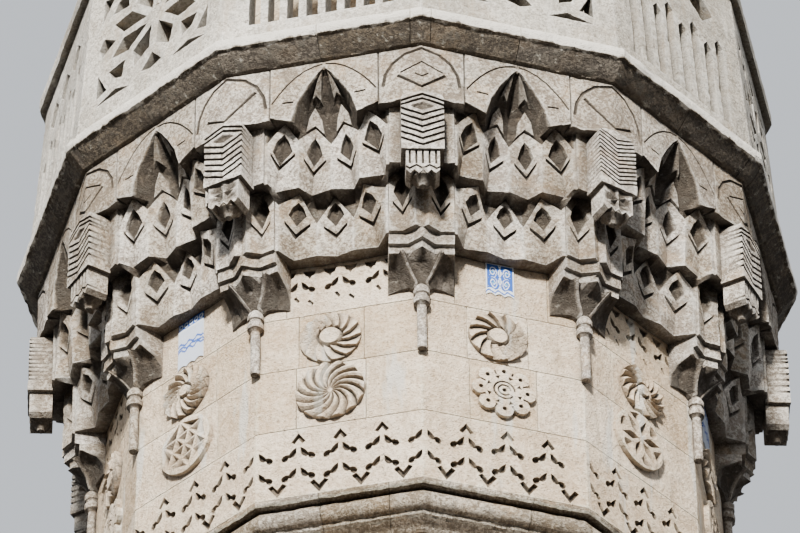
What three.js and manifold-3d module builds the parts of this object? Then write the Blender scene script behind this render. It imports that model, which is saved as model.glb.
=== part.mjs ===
// Balcony stage of a twelve-sided stone minaret: the head of the shaft with its
// roll moulding, the carved drum, the muqarnas corbelling with corner brackets
// and pendants, the cornice, the pierced parapet and the foot of the upper shaft.
// Millimetres, +Z up. The origin is on the axis, at the middle of the lowest face.
// One corner of the plan faces -Y.
import * as THREE from "three";
import { ConvexGeometry } from "three/addons/geometries/ConvexGeometry.js";
import { mergeVertices } from "three/addons/utils/BufferGeometryUtils.js";
import Module from "manifold-3d";

const wasm = await Module();
wasm.setup();

// Plan: every ring is a regular polygon, given by the radius of its corners
const SIDES = 12;
const STEP = (2 * Math.PI) / SIDES;
const HALF = STEP / 2;
const GAP = 0.3; // joint left between neighbouring stones
const BORE_R = 780; // stair well
const SHAFT_R = 1235;
const DRUM_R = 1380;
const SLAB_R = 1680; // lunette course
const CORNICE_R = 1781;
const UPPER_R = 1050;
const PARAPET_FOOT_R = 1736;
const PARAPET_HEAD_R = 1680;
const PARAPET_T = 110;

// Heights
const MOULDING_Z = 340;
const DRUM_Z = 524;
const BRACKET_Z = 1532;
const CAP_Z = 1686;
const ROW1_Z = 1784;
const ROW1_SPRING_Z = 1952;
const ROW2_Z = 2092;
const ROW2_SPRING_Z = 2344;
const SLAB_Z = 2414;
const CORNICE_Z = 2708;
const DECK_Z = 2862;
const COPING_Z = 3870;
const COPING_TOP_Z = 3982;
const TOP_Z = 4762;

// Corner brackets
const BRACKET_W = 140; // half width
const PENDANT_W = 92;
const TASSEL_W = 64;
const LUNETTE_W = 186; // half width of the corner slab
const COLONETTE_R = 20;
const COLONETTE_Z = 1210;
const COLONETTE_AXIS_R = 1398;

// Doorway from the stair to the balcony, on the side after corner 6
const DOOR_SIDE = 6;
const DOOR_W = 460;
const DOOR_H = 1600;

// Parapet openings
const FRAME_FOOT = 95; // plain band under the openings
const FRAME_HEAD = 70;
const POST_W = 105; // plain post at each end of a panel

const stone = (color) => new THREE.MeshStandardMaterial({ color, roughness: 0.9, metalness: 0 });
const WALL_STONE = stone(0xcdbfa8);
const CARVED_STONE = stone(0xb3aa9c);
const CORNICE_STONE = stone(0x8f877a);
const PARAPET_STONE = stone(0xd9d6cd);

const group = new THREE.Group();

// Closed solids and booleans
function solid(geometry) {
  const g = geometry.clone();
  g.deleteAttribute("normal");
  g.deleteAttribute("uv");
  const merged = mergeVertices(g, 1e-3);
  const vertProperties = new Float32Array(merged.attributes.position.array);
  const triVerts = new Uint32Array(merged.index.array);
  return new wasm.Manifold(new wasm.Mesh({ numProp: 3, vertProperties, triVerts }));
}

function geometryOf(manifold) {
  const mesh = manifold.getMesh();
  const g = new THREE.BufferGeometry();
  g.setAttribute("position", new THREE.BufferAttribute(new Float32Array(mesh.vertProperties), 3));
  g.setIndex(new THREE.BufferAttribute(new Uint32Array(mesh.triVerts), 1));
  return g;
}

// Local frame of a corner or a side: x along the wall, y inwards, so a point
// at distance r in front of the axis has y = -r
const at = (x, r, z) => new THREE.Vector3(x, -r, z);

function add(name, manifold, material, turn = 0) {
  const mesh = new THREE.Mesh(geometryOf(manifold), material);
  mesh.name = name;
  mesh.rotation.z = turn;
  group.add(mesh);
}

const hull = (points) => solid(new ConvexGeometry(points));
const mirrored = (points) => points.map((p) => new THREE.Vector3(-p.x, p.y, p.z));

// Stack of outlines with equal point counts, each [x, r] anticlockwise from above
function loft(levels) {
  const count = levels[0].outline.length;
  const positions = [];
  const index = [];
  for (const { z, outline } of levels) {
    for (const [x, r] of outline) positions.push(x, -r, z);
  }
  for (let level = 0; level + 1 < levels.length; level += 1) {
    for (let i = 0; i < count; i += 1) {
      const a = level * count + i;
      const b = level * count + ((i + 1) % count);
      index.push(a, b, b + count, a, b + count, a + count);
    }
  }
  const cap = (level, flip) => {
    const contour = levels[level].outline.map(([x, r]) => new THREE.Vector2(x, -r));
    for (const [a, b, c] of THREE.ShapeUtils.triangulateShape(contour, [])) {
      const base = level * count;
      if (flip) index.push(base + a, base + c, base + b);
      else index.push(base + a, base + b, base + c);
    }
  };
  cap(0, true);
  cap(levels.length - 1, false);
  const g = new THREE.BufferGeometry();
  g.setAttribute("position", new THREE.BufferAttribute(new Float32Array(positions), 3));
  g.setIndex(index);
  return solid(g);
}

const prism = (outline, z0, z1) => loft([{ z: z0, outline }, { z: z1, outline }]);

// Front edge from its right half, closed along the back at radius `back`
function outlineFrom(rightHalf, back, backX = rightHalf[rightHalf.length - 1][0]) {
  const left = rightHalf.filter(([x]) => x > 0).map(([x, r]) => [-x, r]).reverse();
  return [...left, ...rightHalf, [backX, back], [-backX, back]];
}

// Ring with twelve sides from a closed profile of [corner radius, z]
function ring(profile) {
  const points = [...profile, profile[0]].map(([r, z]) => new THREE.Vector2(r, z));
  const g = new THREE.LatheGeometry(points, SIDES);
  g.rotateX(Math.PI / 2);
  return solid(g);
}

// Run of wall from corner `first` over `count` sides, with a joint at each end
function wallRun(outer, inner, first, count, z0, z1) {
  const point = (r, corner, side) => {
    const a = corner * STEP;
    const shift = (side * GAP) / 2;
    return [r * Math.sin(a) + shift * Math.cos(a), r * Math.cos(a) - shift * Math.sin(a)];
  };
  const out = [];
  const back = [];
  for (let i = 0; i <= count; i += 1) {
    const end = i === 0 ? 1 : i === count ? -1 : 0;
    out.push(point(outer, first + i, end));
    back.unshift(point(inner, first + i, end));
  }
  return prism([...out, ...back], z0, z1);
}

// Where the flank of a corner piece, `s` from the corner line, crosses depth n of a side
function flankX(n, s) {
  const r = (n - s * Math.sin(HALF)) / Math.cos(HALF);
  return r * Math.sin(HALF) - s * Math.cos(HALF);
}

const apothem = (r) => r * Math.cos(HALF);

// Everything behind the face of the drum, with the joint
const drumCore = ring([
  [1, 0],
  [DRUM_R + GAP / Math.cos(HALF), 0],
  [DRUM_R + GAP / Math.cos(HALF), TOP_Z],
  [1, TOP_Z],
]);

function head() {
  add("shaft_head", ring([
    [BORE_R, 0],
    [SHAFT_R, 0],
    [SHAFT_R, MOULDING_Z],
    [BORE_R, MOULDING_Z],
  ]), WALL_STONE);

  const rollZ = 447;
  const rollR = 1318;
  const roll = [];
  for (let i = 0; i <= 5; i += 1) {
    const a = -Math.PI / 2 + (Math.PI * i) / 5;
    roll.push([rollR + 34 * Math.cos(a), rollZ + 40 * Math.sin(a)]);
  }
  add("roll_moulding", ring([
    [BORE_R, MOULDING_Z + GAP],
    [SHAFT_R + 12, MOULDING_Z + GAP],
    [SHAFT_R + 30, 362],
    [1300, 384],
    [1312, 392],
    [1312, rollZ - 43],
    ...roll,
    [1308, rollZ + 46],
    [1308, 506],
    [1352, DRUM_Z - GAP],
    [BORE_R, DRUM_Z - GAP],
  ]), CARVED_STONE);
}

function drum() {
  const runs = 4;
  const sidesEach = SIDES / runs;
  for (let i = 0; i < runs; i += 1) {
    const wall = wallRun(DRUM_R, BORE_R, i * sidesEach, sidesEach, DRUM_Z, CORNICE_Z - GAP);
    add(`drum_wall_${i + 1}`, wall, WALL_STONE);
  }
}

// Corner bracket: colonette, ringed capital, coved fan, stepped cap, the corner
// cells of both muqarnas rows, the hanging pendant and the lunette slab
function cornerBracket() {
  const back = 1200;
  const fan = loft([
    { z: BRACKET_Z, outline: outlineFrom([[0, 1414], [14, 1400], [BRACKET_W, 1346]], back) },
    { z: 1605, outline: outlineFrom([[0, 1448], [40, 1424], [BRACKET_W, 1370]], back) },
    { z: CAP_Z, outline: outlineFrom([[0, 1500], [78, 1454], [BRACKET_W, 1450]], back) },
  ]);
  const capStep = 1726;
  const lower = prism(outlineFrom([[0, 1513], [56, 1463], [BRACKET_W, 1463]], back), CAP_Z, capStep);
  const upper = prism(outlineFrom([[0, 1532], [60, 1482], [BRACKET_W, 1482]], back), capStep, ROW1_Z);
  const row1 = prism(outlineFrom([[0, 1526], [28, 1542], [81, 1498], [BRACKET_W, 1498]], back), ROW1_Z, ROW2_Z);
  const row2 = prism(outlineFrom([[0, 1596], [BRACKET_W, 1596]], back), ROW2_Z, SLAB_Z);
  const slabEdge = SLAB_R - LUNETTE_W * Math.tan(HALF);
  const slab = prism(outlineFrom([[0, SLAB_R], [LUNETTE_W, slabEdge]], back), SLAB_Z, CORNICE_Z - GAP);

  const pendantR = 1704;
  const pendant = hull([-1, 1].flatMap((side) => [
    at(side * PENDANT_W, 1500, ROW2_Z + 20), at(side * PENDANT_W, pendantR, ROW2_Z + 20),
    at(side * PENDANT_W, pendantR, 2370), at(side * PENDANT_W, 1500, SLAB_Z + 20),
    at(side * 52, pendantR, SLAB_Z - 6), at(side * 52, 1500, SLAB_Z + 20),
  ]));
  const tassel = hull([-1, 1].flatMap((side) => [
    at(side * TASSEL_W, 1588, 1968), at(side * (TASSEL_W - 24), 1604, 1946),
    at(side * TASSEL_W, 1692, 1968), at(side * (TASSEL_W - 8), 1680, 1950),
    at(side * TASSEL_W, 1588, ROW2_Z + 30), at(side * TASSEL_W, 1692, ROW2_Z + 30),
  ]));

  const rings = [
    [0, COLONETTE_Z], [COLONETTE_R, COLONETTE_Z], [COLONETTE_R, 1446], [36, 1456], [36, 1486],
    [27, 1496], [33, 1506], [33, 1536], [22, 1548], [0, 1548],
  ];
  const lathe = new THREE.LatheGeometry(rings.map(([r, z]) => new THREE.Vector2(r, z)), 8);
  lathe.rotateX(Math.PI / 2);
  lathe.translate(0, -COLONETTE_AXIS_R, 0);

  return [lower, upper, row1, row2, slab, pendant, tassel, solid(lathe)]
    .reduce((whole, piece) => whole.add(piece), fan)
    .subtract(drumCore);
}

// Side bay: three cells under four cells, and the slab above with its fan niche
function sideBay() {
  const back = apothem(DRUM_R) + GAP;
  const between = (points, s) => {
    const n = points[points.length - 1][1];
    return outlineFrom([...points, [flankX(n, s), n]], back, flankX(back, s));
  };
  const ended = (points) => between(points, BRACKET_W + GAP);
  const row1Foot = [[0, 1379], [81, 1407], [182, 1393], [236, 1470]];
  const row1Head = [[0, 1379], [88, 1434], [182, 1393], [240, 1476]];
  const row1 = loft([
    { z: ROW1_Z, outline: ended(row1Foot) },
    { z: ROW1_SPRING_Z, outline: ended(row1Foot) },
    { z: ROW2_Z, outline: ended(row1Head) },
  ]);
  const row2Foot = [[0, 1481], [90, 1442], [133, 1519], [236, 1502], [262, 1566]];
  const row2Head = [[0, 1540], [86, 1446], [134, 1600], [222, 1510], [262, 1566]];
  const row2 = loft([
    { z: ROW2_Z, outline: ended(row2Foot) },
    { z: ROW2_SPRING_Z, outline: ended(row2Foot) },
    { z: SLAB_Z, outline: ended(row2Head) },
  ]);

  const face = apothem(SLAB_R);
  const slab = prism(between([[0, face]], LUNETTE_W + GAP), SLAB_Z, CORNICE_Z - GAP);

  const front = face + 20;
  const fanFold = [
    at(0, front, 2690), at(62, front, 2618), at(112, front, 2530), at(138, front, SLAB_Z - 20),
    at(134, 1598, SLAB_Z - 20), at(76, 1450, SLAB_Z - 4), at(66, 1456, 2470), at(0, 1538, SLAB_Z - 20),
  ];
  return row1.add(row2).add(slab)
    .subtract(hull(fanFold))
    .subtract(hull(mirrored(fanFold)));
}

function muqarnas() {
  const corner = cornerBracket();
  const bay = sideBay();
  for (let k = 0; k < SIDES; k += 1) {
    add(`corner_bracket_${k + 1}`, corner, CARVED_STONE, k * STEP);
    add(`muqarnas_bay_${k + 1}`, bay, CARVED_STONE, (k + 0.5) * STEP);
  }
}

function cornice() {
  add("cornice", ring([
    [DRUM_R + GAP, CORNICE_Z],
    [SLAB_R, CORNICE_Z],
    [1712, 2722],
    [1758, 2762],
    [CORNICE_R, 2798],
    [CORNICE_R, 2840],
    [1768, DECK_Z],
    [DRUM_R + GAP, DECK_Z],
  ]), CORNICE_STONE);
  add("balcony_floor", ring([
    [BORE_R, CORNICE_Z],
    [DRUM_R, CORNICE_Z],
    [DRUM_R, DECK_Z],
    [BORE_R, DECK_Z],
  ]), CORNICE_STONE);
}

// Openings of a parapet panel, in its own plane: x along the panel, y up from its foot
function polygonHole(points) {
  const shape = new THREE.Shape(points.map(([x, y]) => new THREE.Vector2(x, y)));
  return new THREE.ExtrudeGeometry(shape, { depth: 2 * PARAPET_T, bevelEnabled: false });
}

function starHoles(width, height) {
  const cy = (FRAME_FOOT + height - FRAME_HEAD) / 2;
  const rays = 12;
  const holes = [];
  const polar = (r, a) => [r * Math.sin(a), cy + r * Math.cos(a)];
  for (let i = 0; i < rays; i += 1) {
    const a = (i * 2 * Math.PI) / rays;
    holes.push([polar(78, a), polar(238, a + 0.17), polar(282, a), polar(238, a - 0.17)]);
  }
  for (const side of [-1, 1]) {
    const edge = side * (width / 2 - POST_W);
    for (const end of [-1, 1]) {
      const tip = cy + end * 370;
      holes.push([[edge, cy + end * 215], [edge, tip - end * 40], [edge - side * 100, cy + end * 285]]);
      holes.push([[edge, tip], [edge - side * 170, tip], [edge - side * 125, tip - end * 55]]);
    }
  }
  return holes;
}

function slotHoles(width, height) {
  const holes = [];
  const count = 8;
  const clear = width - 2 * POST_W;
  const pitch = clear / count;
  for (let i = 0; i < count; i += 1) {
    const x = -clear / 2 + (i + 0.5) * pitch;
    const w = pitch * 0.31;
    const top = 520 + (i % 2) * 70;
    holes.push([[x - w, FRAME_FOOT], [x + w, FRAME_FOOT], [x + w, top], [x, top + 35], [x - w, top]]);
  }
  const y = height - FRAME_HEAD - 175;
  for (const side of [-1, 0, 1]) {
    const x = side * 200;
    holes.push([[x - 80, y], [x, y - 85], [x + 80, y], [x, y + 85]]);
  }
  return holes;
}

function parapet() {
  const rise = COPING_Z - DECK_Z;
  const foot = apothem(PARAPET_FOOT_R);
  const lean = Math.atan2(foot - apothem(PARAPET_HEAD_R), rise);
  const height = rise / Math.cos(lean);
  const width = 2 * PARAPET_FOOT_R * Math.sin(HALF);

  // Sector of one side, mitred at the corners and level at foot and head
  const reach = 2200;
  const shift = GAP / 2 / Math.sin(HALF);
  const half = (reach - shift) * Math.tan(HALF);
  const sector = prism([[0, shift], [half, reach], [-half, reach]].reverse(), DECK_Z + GAP, COPING_Z - GAP);

  const slab = new THREE.BoxGeometry(width + 400, height + 200, PARAPET_T);
  slab.translate(0, height / 2, -PARAPET_T / 2);
  const place = (geometry) => {
    geometry.rotateX(Math.PI / 2 - lean);
    geometry.translate(0, -foot, DECK_Z);
    return solid(geometry);
  };
  const blank = place(slab).intersect(sector);

  const pierced = (holes) => holes.reduce((panel, hole) => {
    const cutter = polygonHole(hole);
    cutter.translate(0, 0, -1.5 * PARAPET_T);
    return panel.subtract(place(cutter));
  }, blank);
  const star = pierced(starHoles(width, height));
  const slots = pierced(slotHoles(width, height));
  for (let k = 0; k < SIDES; k += 1) {
    add(`parapet_panel_${k + 1}`, k % 2 === 0 ? star : slots, PARAPET_STONE, (k + 0.5) * STEP);
  }

  add("parapet_coping", ring([
    [PARAPET_HEAD_R - 145, COPING_Z],
    [PARAPET_HEAD_R + 34, COPING_Z],
    [PARAPET_HEAD_R + 34, COPING_Z + 70],
    [PARAPET_HEAD_R + 8, COPING_TOP_Z],
    [PARAPET_HEAD_R - 125, COPING_TOP_Z],
    [PARAPET_HEAD_R - 145, COPING_Z + 70],
  ]), PARAPET_STONE);
}

function upperShaft() {
  const z0 = DECK_Z + GAP;
  const first = DOOR_SIDE + 1;
  const runs = [4, 4, 3];
  let corner = first;
  runs.forEach((count, i) => {
    add(`upper_shaft_wall_${i + 1}`, wallRun(UPPER_R, BORE_R, corner, count, z0, TOP_Z), WALL_STONE);
    corner += count;
  });
  const doorway = new THREE.BoxGeometry(DOOR_W, 2 * UPPER_R, DOOR_H + 100);
  doorway.translate(0, -UPPER_R, DECK_Z + (DOOR_H - 100) / 2);
  doorway.rotateZ((DOOR_SIDE + 0.5) * STEP);
  const bay = wallRun(UPPER_R, BORE_R, DOOR_SIDE, 1, z0, TOP_Z).subtract(solid(doorway));
  add("upper_shaft_door_bay", bay, WALL_STONE);
}

head();
drum();
muqarnas();
cornice();
parapet();
upperShaft();

export default group;
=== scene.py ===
# Balcony stage of a stone minaret, dressed with its carving and its weathered stone.
# Sizes are millimetres in the frame of the solids, and weather() turns them into metres.
import math
from random import Random

import bmesh
import bpy
from mathutils import Matrix, Vector, noise
from mathutils.geometry import delaunay_2d_cdt


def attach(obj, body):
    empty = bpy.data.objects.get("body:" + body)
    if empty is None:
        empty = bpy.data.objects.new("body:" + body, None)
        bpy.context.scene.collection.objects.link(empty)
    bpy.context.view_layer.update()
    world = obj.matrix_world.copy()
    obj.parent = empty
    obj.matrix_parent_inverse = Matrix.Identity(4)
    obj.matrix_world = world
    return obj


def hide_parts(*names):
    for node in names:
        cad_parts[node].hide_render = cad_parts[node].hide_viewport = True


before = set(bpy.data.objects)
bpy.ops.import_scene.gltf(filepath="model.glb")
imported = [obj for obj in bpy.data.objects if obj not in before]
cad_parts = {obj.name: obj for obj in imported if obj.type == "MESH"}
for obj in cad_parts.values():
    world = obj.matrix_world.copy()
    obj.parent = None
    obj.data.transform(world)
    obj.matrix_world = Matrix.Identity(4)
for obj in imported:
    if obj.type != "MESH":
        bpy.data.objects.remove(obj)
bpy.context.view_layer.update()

# Plan, as in the solids: corner radii of each twelve-sided ring
SIDES = 12
STEP = math.tau / SIDES
HALF = STEP / 2
SIN, COS, TAN = math.sin(HALF), math.cos(HALF), math.tan(HALF)
BORE_R = 780
SHAFT_R = 1235
DRUM_R = 1380
SLAB_R = 1680
CORNICE_R = 1781
UPPER_R = 1050
PARAPET_FOOT_R = 1736
PARAPET_HEAD_R = 1680
PARAPET_T = 110

# Heights
MOULDING_Z = 340
DRUM_Z = 524
BRACKET_Z = 1532
CAP_Z = 1686
CAP_STEP_Z = 1726
ROW1_Z = 1784
ROW2_Z = 2092
SLAB_Z = 2414
CORNICE_Z = 2708
DECK_Z = 2862
COPING_Z = 3870
COPING_TOP_Z = 3982
TOP_Z = 4762

# Half widths of the pieces at a corner
BRACKET_W = 140
LUNETTE_W = 186
PENDANT_W = 92
TASSEL_W = 72
COLONETTE_AXIS_R = 1398

DOOR_SIDE = 6
DOOR_W = 460
DOOR_H = 1600

FRAME_FOOT = 95
FRAME_HEAD = 70
POST_W = 105

GAP = 0.3  # between neighbouring pieces
NEAR = 0.01  # distance within which two pattern points are one
JOINT = 2.2  # half the width of an open joint
JOINT_SECTION = ((-JOINT, 0, 0.8), (0, 6, 0), (JOINT, 0, 0.8))  # shift, depth, wear


def apothem(r):
    """Distance from the axis to the middle of a side."""
    return r * COS


DRUM_N = apothem(DRUM_R)
SLAB_N = apothem(SLAB_R)
BORE_N = apothem(BORE_R)
UPPER_N = apothem(UPPER_R)


def flank_x(n, s):
    """Where the flank of a corner piece, s from the corner line, crosses depth n of a side."""
    r = (n - s * SIN) / COS
    return r * SIN - s * COS


def polar(x, z, r, a):
    return x + r * math.cos(a), z + r * math.sin(a)


def circle(x, z, r, count):
    return [polar(x, z, r, i * math.tau / count) for i in range(count)]


def lerp(p, q, f):
    return tuple(a + (b - a) * f for a, b in zip(p, q))


def around(loop):
    """Neighbouring pairs round a closed loop."""
    return zip(loop, loop[1:] + loop[:1])


def mirrored(points):
    """The same pattern points on the other side of the middle line."""
    return [(-p[0], p[1], p[2]) + ((-p[3],) + p[4:] if len(p) > 3 else ()) for p in reversed(points)]


def shaded_and_soiled(p, dirt_shade_paint=1.0):
    """Pattern point darkened with dirt and painted shade."""
    return (p if len(p) > 3 else p + p[:2]) + (dirt_shade_paint,)


def dark(*points):
    """Pattern points darkened with dirt and painted shade."""
    return [shaded_and_soiled(p) for p in points]


def inside(a, b, edges):
    """Whether pattern point (a, b) lies between closed edges."""
    odd = False
    for (a0, b0), (a1, b1) in edges:
        if (b0 > b) != (b1 > b) and a < a0 + (b - b0) * (a1 - a0) / (b1 - b0):
            odd = not odd
    return odd


def inset(loop, width):
    """A closed anticlockwise loop drawn in by width along each of its edges."""
    sharpest = 0.45
    out = []
    for i, (a, b) in enumerate(loop):
        before = Vector((a, b)) - Vector(loop[i - 1])
        after = Vector(loop[(i + 1) % len(loop)]) - Vector((a, b))
        n0 = Vector((-before.y, before.x)).normalized()
        n1 = Vector((-after.y, after.x)).normalized()
        bisector = (n0 + n1).normalized()
        reach = width / max(sharpest, bisector.dot(n0))
        out.append((a + bisector.x * reach, b + bisector.y * reach))
    return out


class Block:
    """Vertices (x along the wall, n out from the axis, z), faces, how worn each vertex is and how
    much dirt and painted shade it carries (on a tile, its paint), and the stones that the face
    is made of, as rows (z0, z1, [x of the joints])."""

    def __init__(self, stones=()):
        self.places = []
        self.worn = []
        self.dirt_shade_paint = []
        self.faces = []
        self.stones = stones

    def vertex(self, x, n, z, worn=0.0, dirt_shade_paint=0.0):
        self.places.append((x, n, z))
        self.worn.append(worn)
        self.dirt_shade_paint.append(dirt_shade_paint)
        return len(self.places) - 1

    def band(self, near, far):
        """Faces between two closed runs of vertices."""
        for (a, b), (c, d) in zip(around(near), around(far)):
            self.faces.append((a, c, d, b))

    def stone_of(self, face):
        """Which stone a face belongs to."""
        x = sum(self.places[i][0] for i in face) / len(face)
        z = sum(self.places[i][2] for i in face) / len(face)
        for row, (z0, z1, joints) in enumerate(self.stones):
            if z0 <= z < z1:
                return row, sum(x > joint for joint in joints)
        return 0, 0


class Relief:
    """A carved face. A point is (a, b, n), (a, b, n, x, z) or (a, b, n, x, z, dirt_shade_paint): a, b
    place it on the flat pattern, which only fixes its neighbours, x, n, z place it in space, and
    dirt_shade_paint darkens it with dirt and painted shade."""

    def __init__(self, flat_n=0.0, stones=()):
        self.flat_n = flat_n
        self.stones = stones
        self.pattern = []
        self.places = []
        self.keys = {}
        self.edges = []
        self.border = []
        self.holes = []

    def point(self, p):
        """Index of a point. One that is given twice is kept once."""
        a, b, n = p[:3]
        x, z = p[3:5] if len(p) > 3 else (a, b)
        key = (round(a, 1), round(b, 1))
        if key not in self.keys:
            self.keys[key] = len(self.pattern)
            self.pattern.append((a, b))
            self.places.append((x, n, z, p[5] if len(p) > 5 else 0.0))
        return self.keys[key]

    def line(self, points, worn=1.0, closed=False):
        """Edge of the carving that runs through the points, and how worn it is."""
        ids = [self.point(p) for p in points]
        ends = ids[1:] + ids[:1] if closed else ids[1:]
        self.edges += [(i, j, worn) for i, j in zip(ids, ends) if i != j]

    def both(self, points, worn=1.0):
        """A line and its mirror image."""
        self.line(points, worn)
        self.line(mirrored(points), worn)

    def outline(self, points):
        self.border = [p[:2] for p in points]
        self.line(points, closed=True)

    def hole(self, points):
        self.holes.append([p[:2] for p in points])
        self.line(points, closed=True)

    def level(self, a, z, depth=0.0):
        """Pattern point on a flat face."""
        return (a, z, self.flat_n - depth)

    def cut(self, loop, depth, slope=2.5, spot=None, tail=None):
        """Recess with the anticlockwise outline `loop` and its floor `depth` deep, the floor darkened
            with painted shade and dirt. A tail is a crease along the floor, deeper by half as much again."""
        spot = spot or self.level
        self.line([spot(a, z, 0) for a, z in loop], 0.7, closed=True)
        self.line(dark(*[spot(a, z, depth) for a, z in inset(loop, slope)]), 0.3, closed=True)
        if tail:
            self.line(dark(*[spot(a, z, 1.5 * depth) for a, z in tail]), 0)

    def groove(self, points, width, depth, spot=None):
        """Incised line along an open run, its flanks and floor darkened with painted shade and dirt."""
        spot = spot or self.level
        last = len(points) - 1
        rims = ((width / 2, 0, 0.5, tuple), (width * 0.32, 0.6 * depth, 0, shaded_and_soiled))
        for half, sunk, worn, finish in rims:
            left, right = [], []
            for i, (a, z) in enumerate(points):
                run = Vector(points[min(i + 1, last)]) - Vector(points[max(i - 1, 0)])
                longer = {0: half - width / 2, last: width / 2 - half}.get(i, 0)
                ahead = run.normalized() * longer
                across = Vector((-run.y, run.x)).normalized() * half
                left.append((a + across.x - ahead.x, z + across.y - ahead.y))
                right.append((a - across.x - ahead.x, z - across.y - ahead.y))
            self.line([finish(spot(a, z, sunk)) for a, z in left + right[::-1]], worn, closed=True)
        middle = [Vector(p) for p in points]
        middle[0] += (middle[1] - middle[0]).normalized() * (width / 2)
        middle[-1] += (middle[-2] - middle[-1]).normalized() * (width / 2)
        self.line(dark(*[spot(p.x, p.y, depth) for p in middle]), 0)

    def keep(self, a, b):
        """Whether a place lies inside the outline and outside the holes."""
        return inside(a, b, around(self.border)) and not any(inside(a, b, around(h)) for h in self.holes)

    def triangles(self, pattern, places, worn, edges):
        """Constrained triangles. Crossings of lines become new points between their ends."""
        verts, out_edges, faces, from_verts, from_edges, _ = delaunay_2d_cdt(
            [Vector(p) for p in pattern], [(i, j) for i, j, _ in edges], [], 0, NEAR)
        index = []
        for v, source in zip(verts, from_verts):
            if source:
                index.append(source[0])
                continue
            index.append(len(pattern))
            pattern.append((v.x, v.y))
            places.append(self.between(v, pattern, places, edges))
            worn.append(0.5)
        kept = []
        for face in faces:
            middle = sum((verts[i] for i in face), Vector((0, 0))) / 3
            if self.keep(middle.x, middle.y):
                kept.append(tuple(index[i] for i in face))
        lines = []
        for (i, j), source in zip(out_edges, from_edges):
            if source and source[0] < len(edges):
                lines.append((index[i], index[j], edges[source[0]][2]))
        return kept, lines

    @staticmethod
    def between(v, pattern, places, edges):
        """Place of a crossing: the deepest of the lines that meet there."""
        found = []
        for i, j, _ in edges:
            p, q = Vector(pattern[i]), Vector(pattern[j])
            along = q - p
            f = min(1, max(0, (v - p).dot(along) / max(along.length_squared, NEAR)))
            away = (p + along * f - v).length
            found.append((round(away, 1), lerp(places[i], places[j], f)))
        nearest = min(away for away, _ in found)
        return min((place for away, place in found if away == nearest), key=lambda place: place[1])

    def mesh(self, pitch, step, seed):
        """Fine vertices and triangles of the face: lines cut into runs of about `step`, and
        loose points at about `pitch` between them."""
        shortest = 0.6
        pattern = list(self.pattern)
        places = list(self.places)
        worn = [0.0] * len(pattern)
        coarse, lines = self.triangles(pattern, places, worn, self.edges)
        fixed = {tuple(sorted((i, j))) for i, j, _ in lines}
        edges = []
        for i, j, w in lines:
            worn[i] = max(worn[i], w)
            worn[j] = max(worn[j], w)
            length = (Vector(places[i]) - Vector(places[j])).length
            flat = (Vector(pattern[i]) - Vector(pattern[j])).length
            count = max(1, min(math.ceil(length / step), int(flat / shortest)))
            last = i
            for k in range(1, count):
                f = k / count
                pattern.append(lerp(pattern[i], pattern[j], f))
                places.append(lerp(places[i], places[j], f))
                worn.append(w)
                edges.append((last, len(pattern) - 1, w))
                last = len(pattern) - 1
            edges.append((last, j, w))
        self.fill(coarse, fixed, pattern, places, worn, pitch, Random(seed))
        faces, _ = self.triangles(pattern, places, worn, edges)
        return pattern, places, worn, faces

    @staticmethod
    def fill(coarse, fixed, pattern, places, worn, pitch, rng):
        """Adds loose points on an uneven grid, clear of the fixed lines."""
        shifts = 997
        jitter = [(rng.uniform(-0.3, 0.3), rng.uniform(-0.3, 0.3)) for _ in range(shifts)]
        done = set()
        clear = 0.32 * pitch
        for face in coarse:
            p, q, r = (Vector(pattern[i]) for i in face)
            area = (q - p).cross(r - p)
            if abs(area) < 1:
                continue
            sides = ((q, r, face[1], face[2]), (r, p, face[2], face[0]), (p, q, face[0], face[1]))
            need = [clear / (abs(area) / (e - s).length) if tuple(sorted((i, j))) in fixed else 0
                    for s, e, i, j in sides]
            rows, cols = (range(math.floor(min(c) / pitch), math.ceil(max(c) / pitch) + 1)
                          for c in ((p.y, q.y, r.y), (p.x, q.x, r.x)))
            for row, col in [(row, col) for row in rows for col in cols]:
                if (row, col) in done:
                    continue
                da, db = jitter[(row * 131 + col * 29) % shifts]
                v = Vector(((col + da + 0.5 * (row % 2)) * pitch, (row + db) * pitch))
                shares = [s.cross(e) / area for s, e in ((q - v, r - v), (r - v, p - v), (p - v, q - v))]
                if all(share > least for share, least in zip(shares, need)):
                    done.add((row, col))
                    pattern.append((v.x, v.y))
                    corners = [places[i] for i in face]
                    places.append(tuple(sum(s * p[c] for s, p in zip(shares, corners)) for c in range(4)))
                    worn.append(0.0)

    def block(self, behind, pitch, step, seed, fold=False, shade=0.0):
        """Closed block: the carved face, walls round its borders and a plain back.
        behind(x, n, z, b) gives the place behind a border vertex."""
        pattern, places, worn, faces = self.mesh(pitch, step, seed)
        index = {}
        out = Block(self.stones)
        for i in sorted({i for face in faces for i in face}):
            x, n, z, dirt_shade_paint = places[i]
            index[i] = out.vertex(x, n, z, worn[i], dirt_shade_paint)
        out.faces = [tuple(index[i] for i in face) for face in faces]
        runs = {run: True for face in faces for run in around(face)}
        rim = [(i, j) for i, j in runs if (j, i) not in runs]
        after = {}
        flat = []
        keys = {}
        for i, _ in rim:
            x, n, z = behind(*places[i][:3], pattern[i][1])
            key = (round(x, 1), round(z, 1))
            if key not in keys:
                keys[key] = (out.vertex(x, n, z, -1, shade), len(flat))
                flat.append((x, z))
            after[i] = keys[key]
        loops = []
        for i, j in rim:
            (back_i, flat_i), (back_j, flat_j) = after[i], after[j]
            if back_i == back_j:
                out.faces.append((index[j], index[i], back_i))
            else:
                out.faces.append((index[j], index[i], back_i, back_j))
                loops.append((flat_i, flat_j))
        self.back(out, flat, loops, {f: v for v, f in keys.values()}, fold)
        return out

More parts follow.
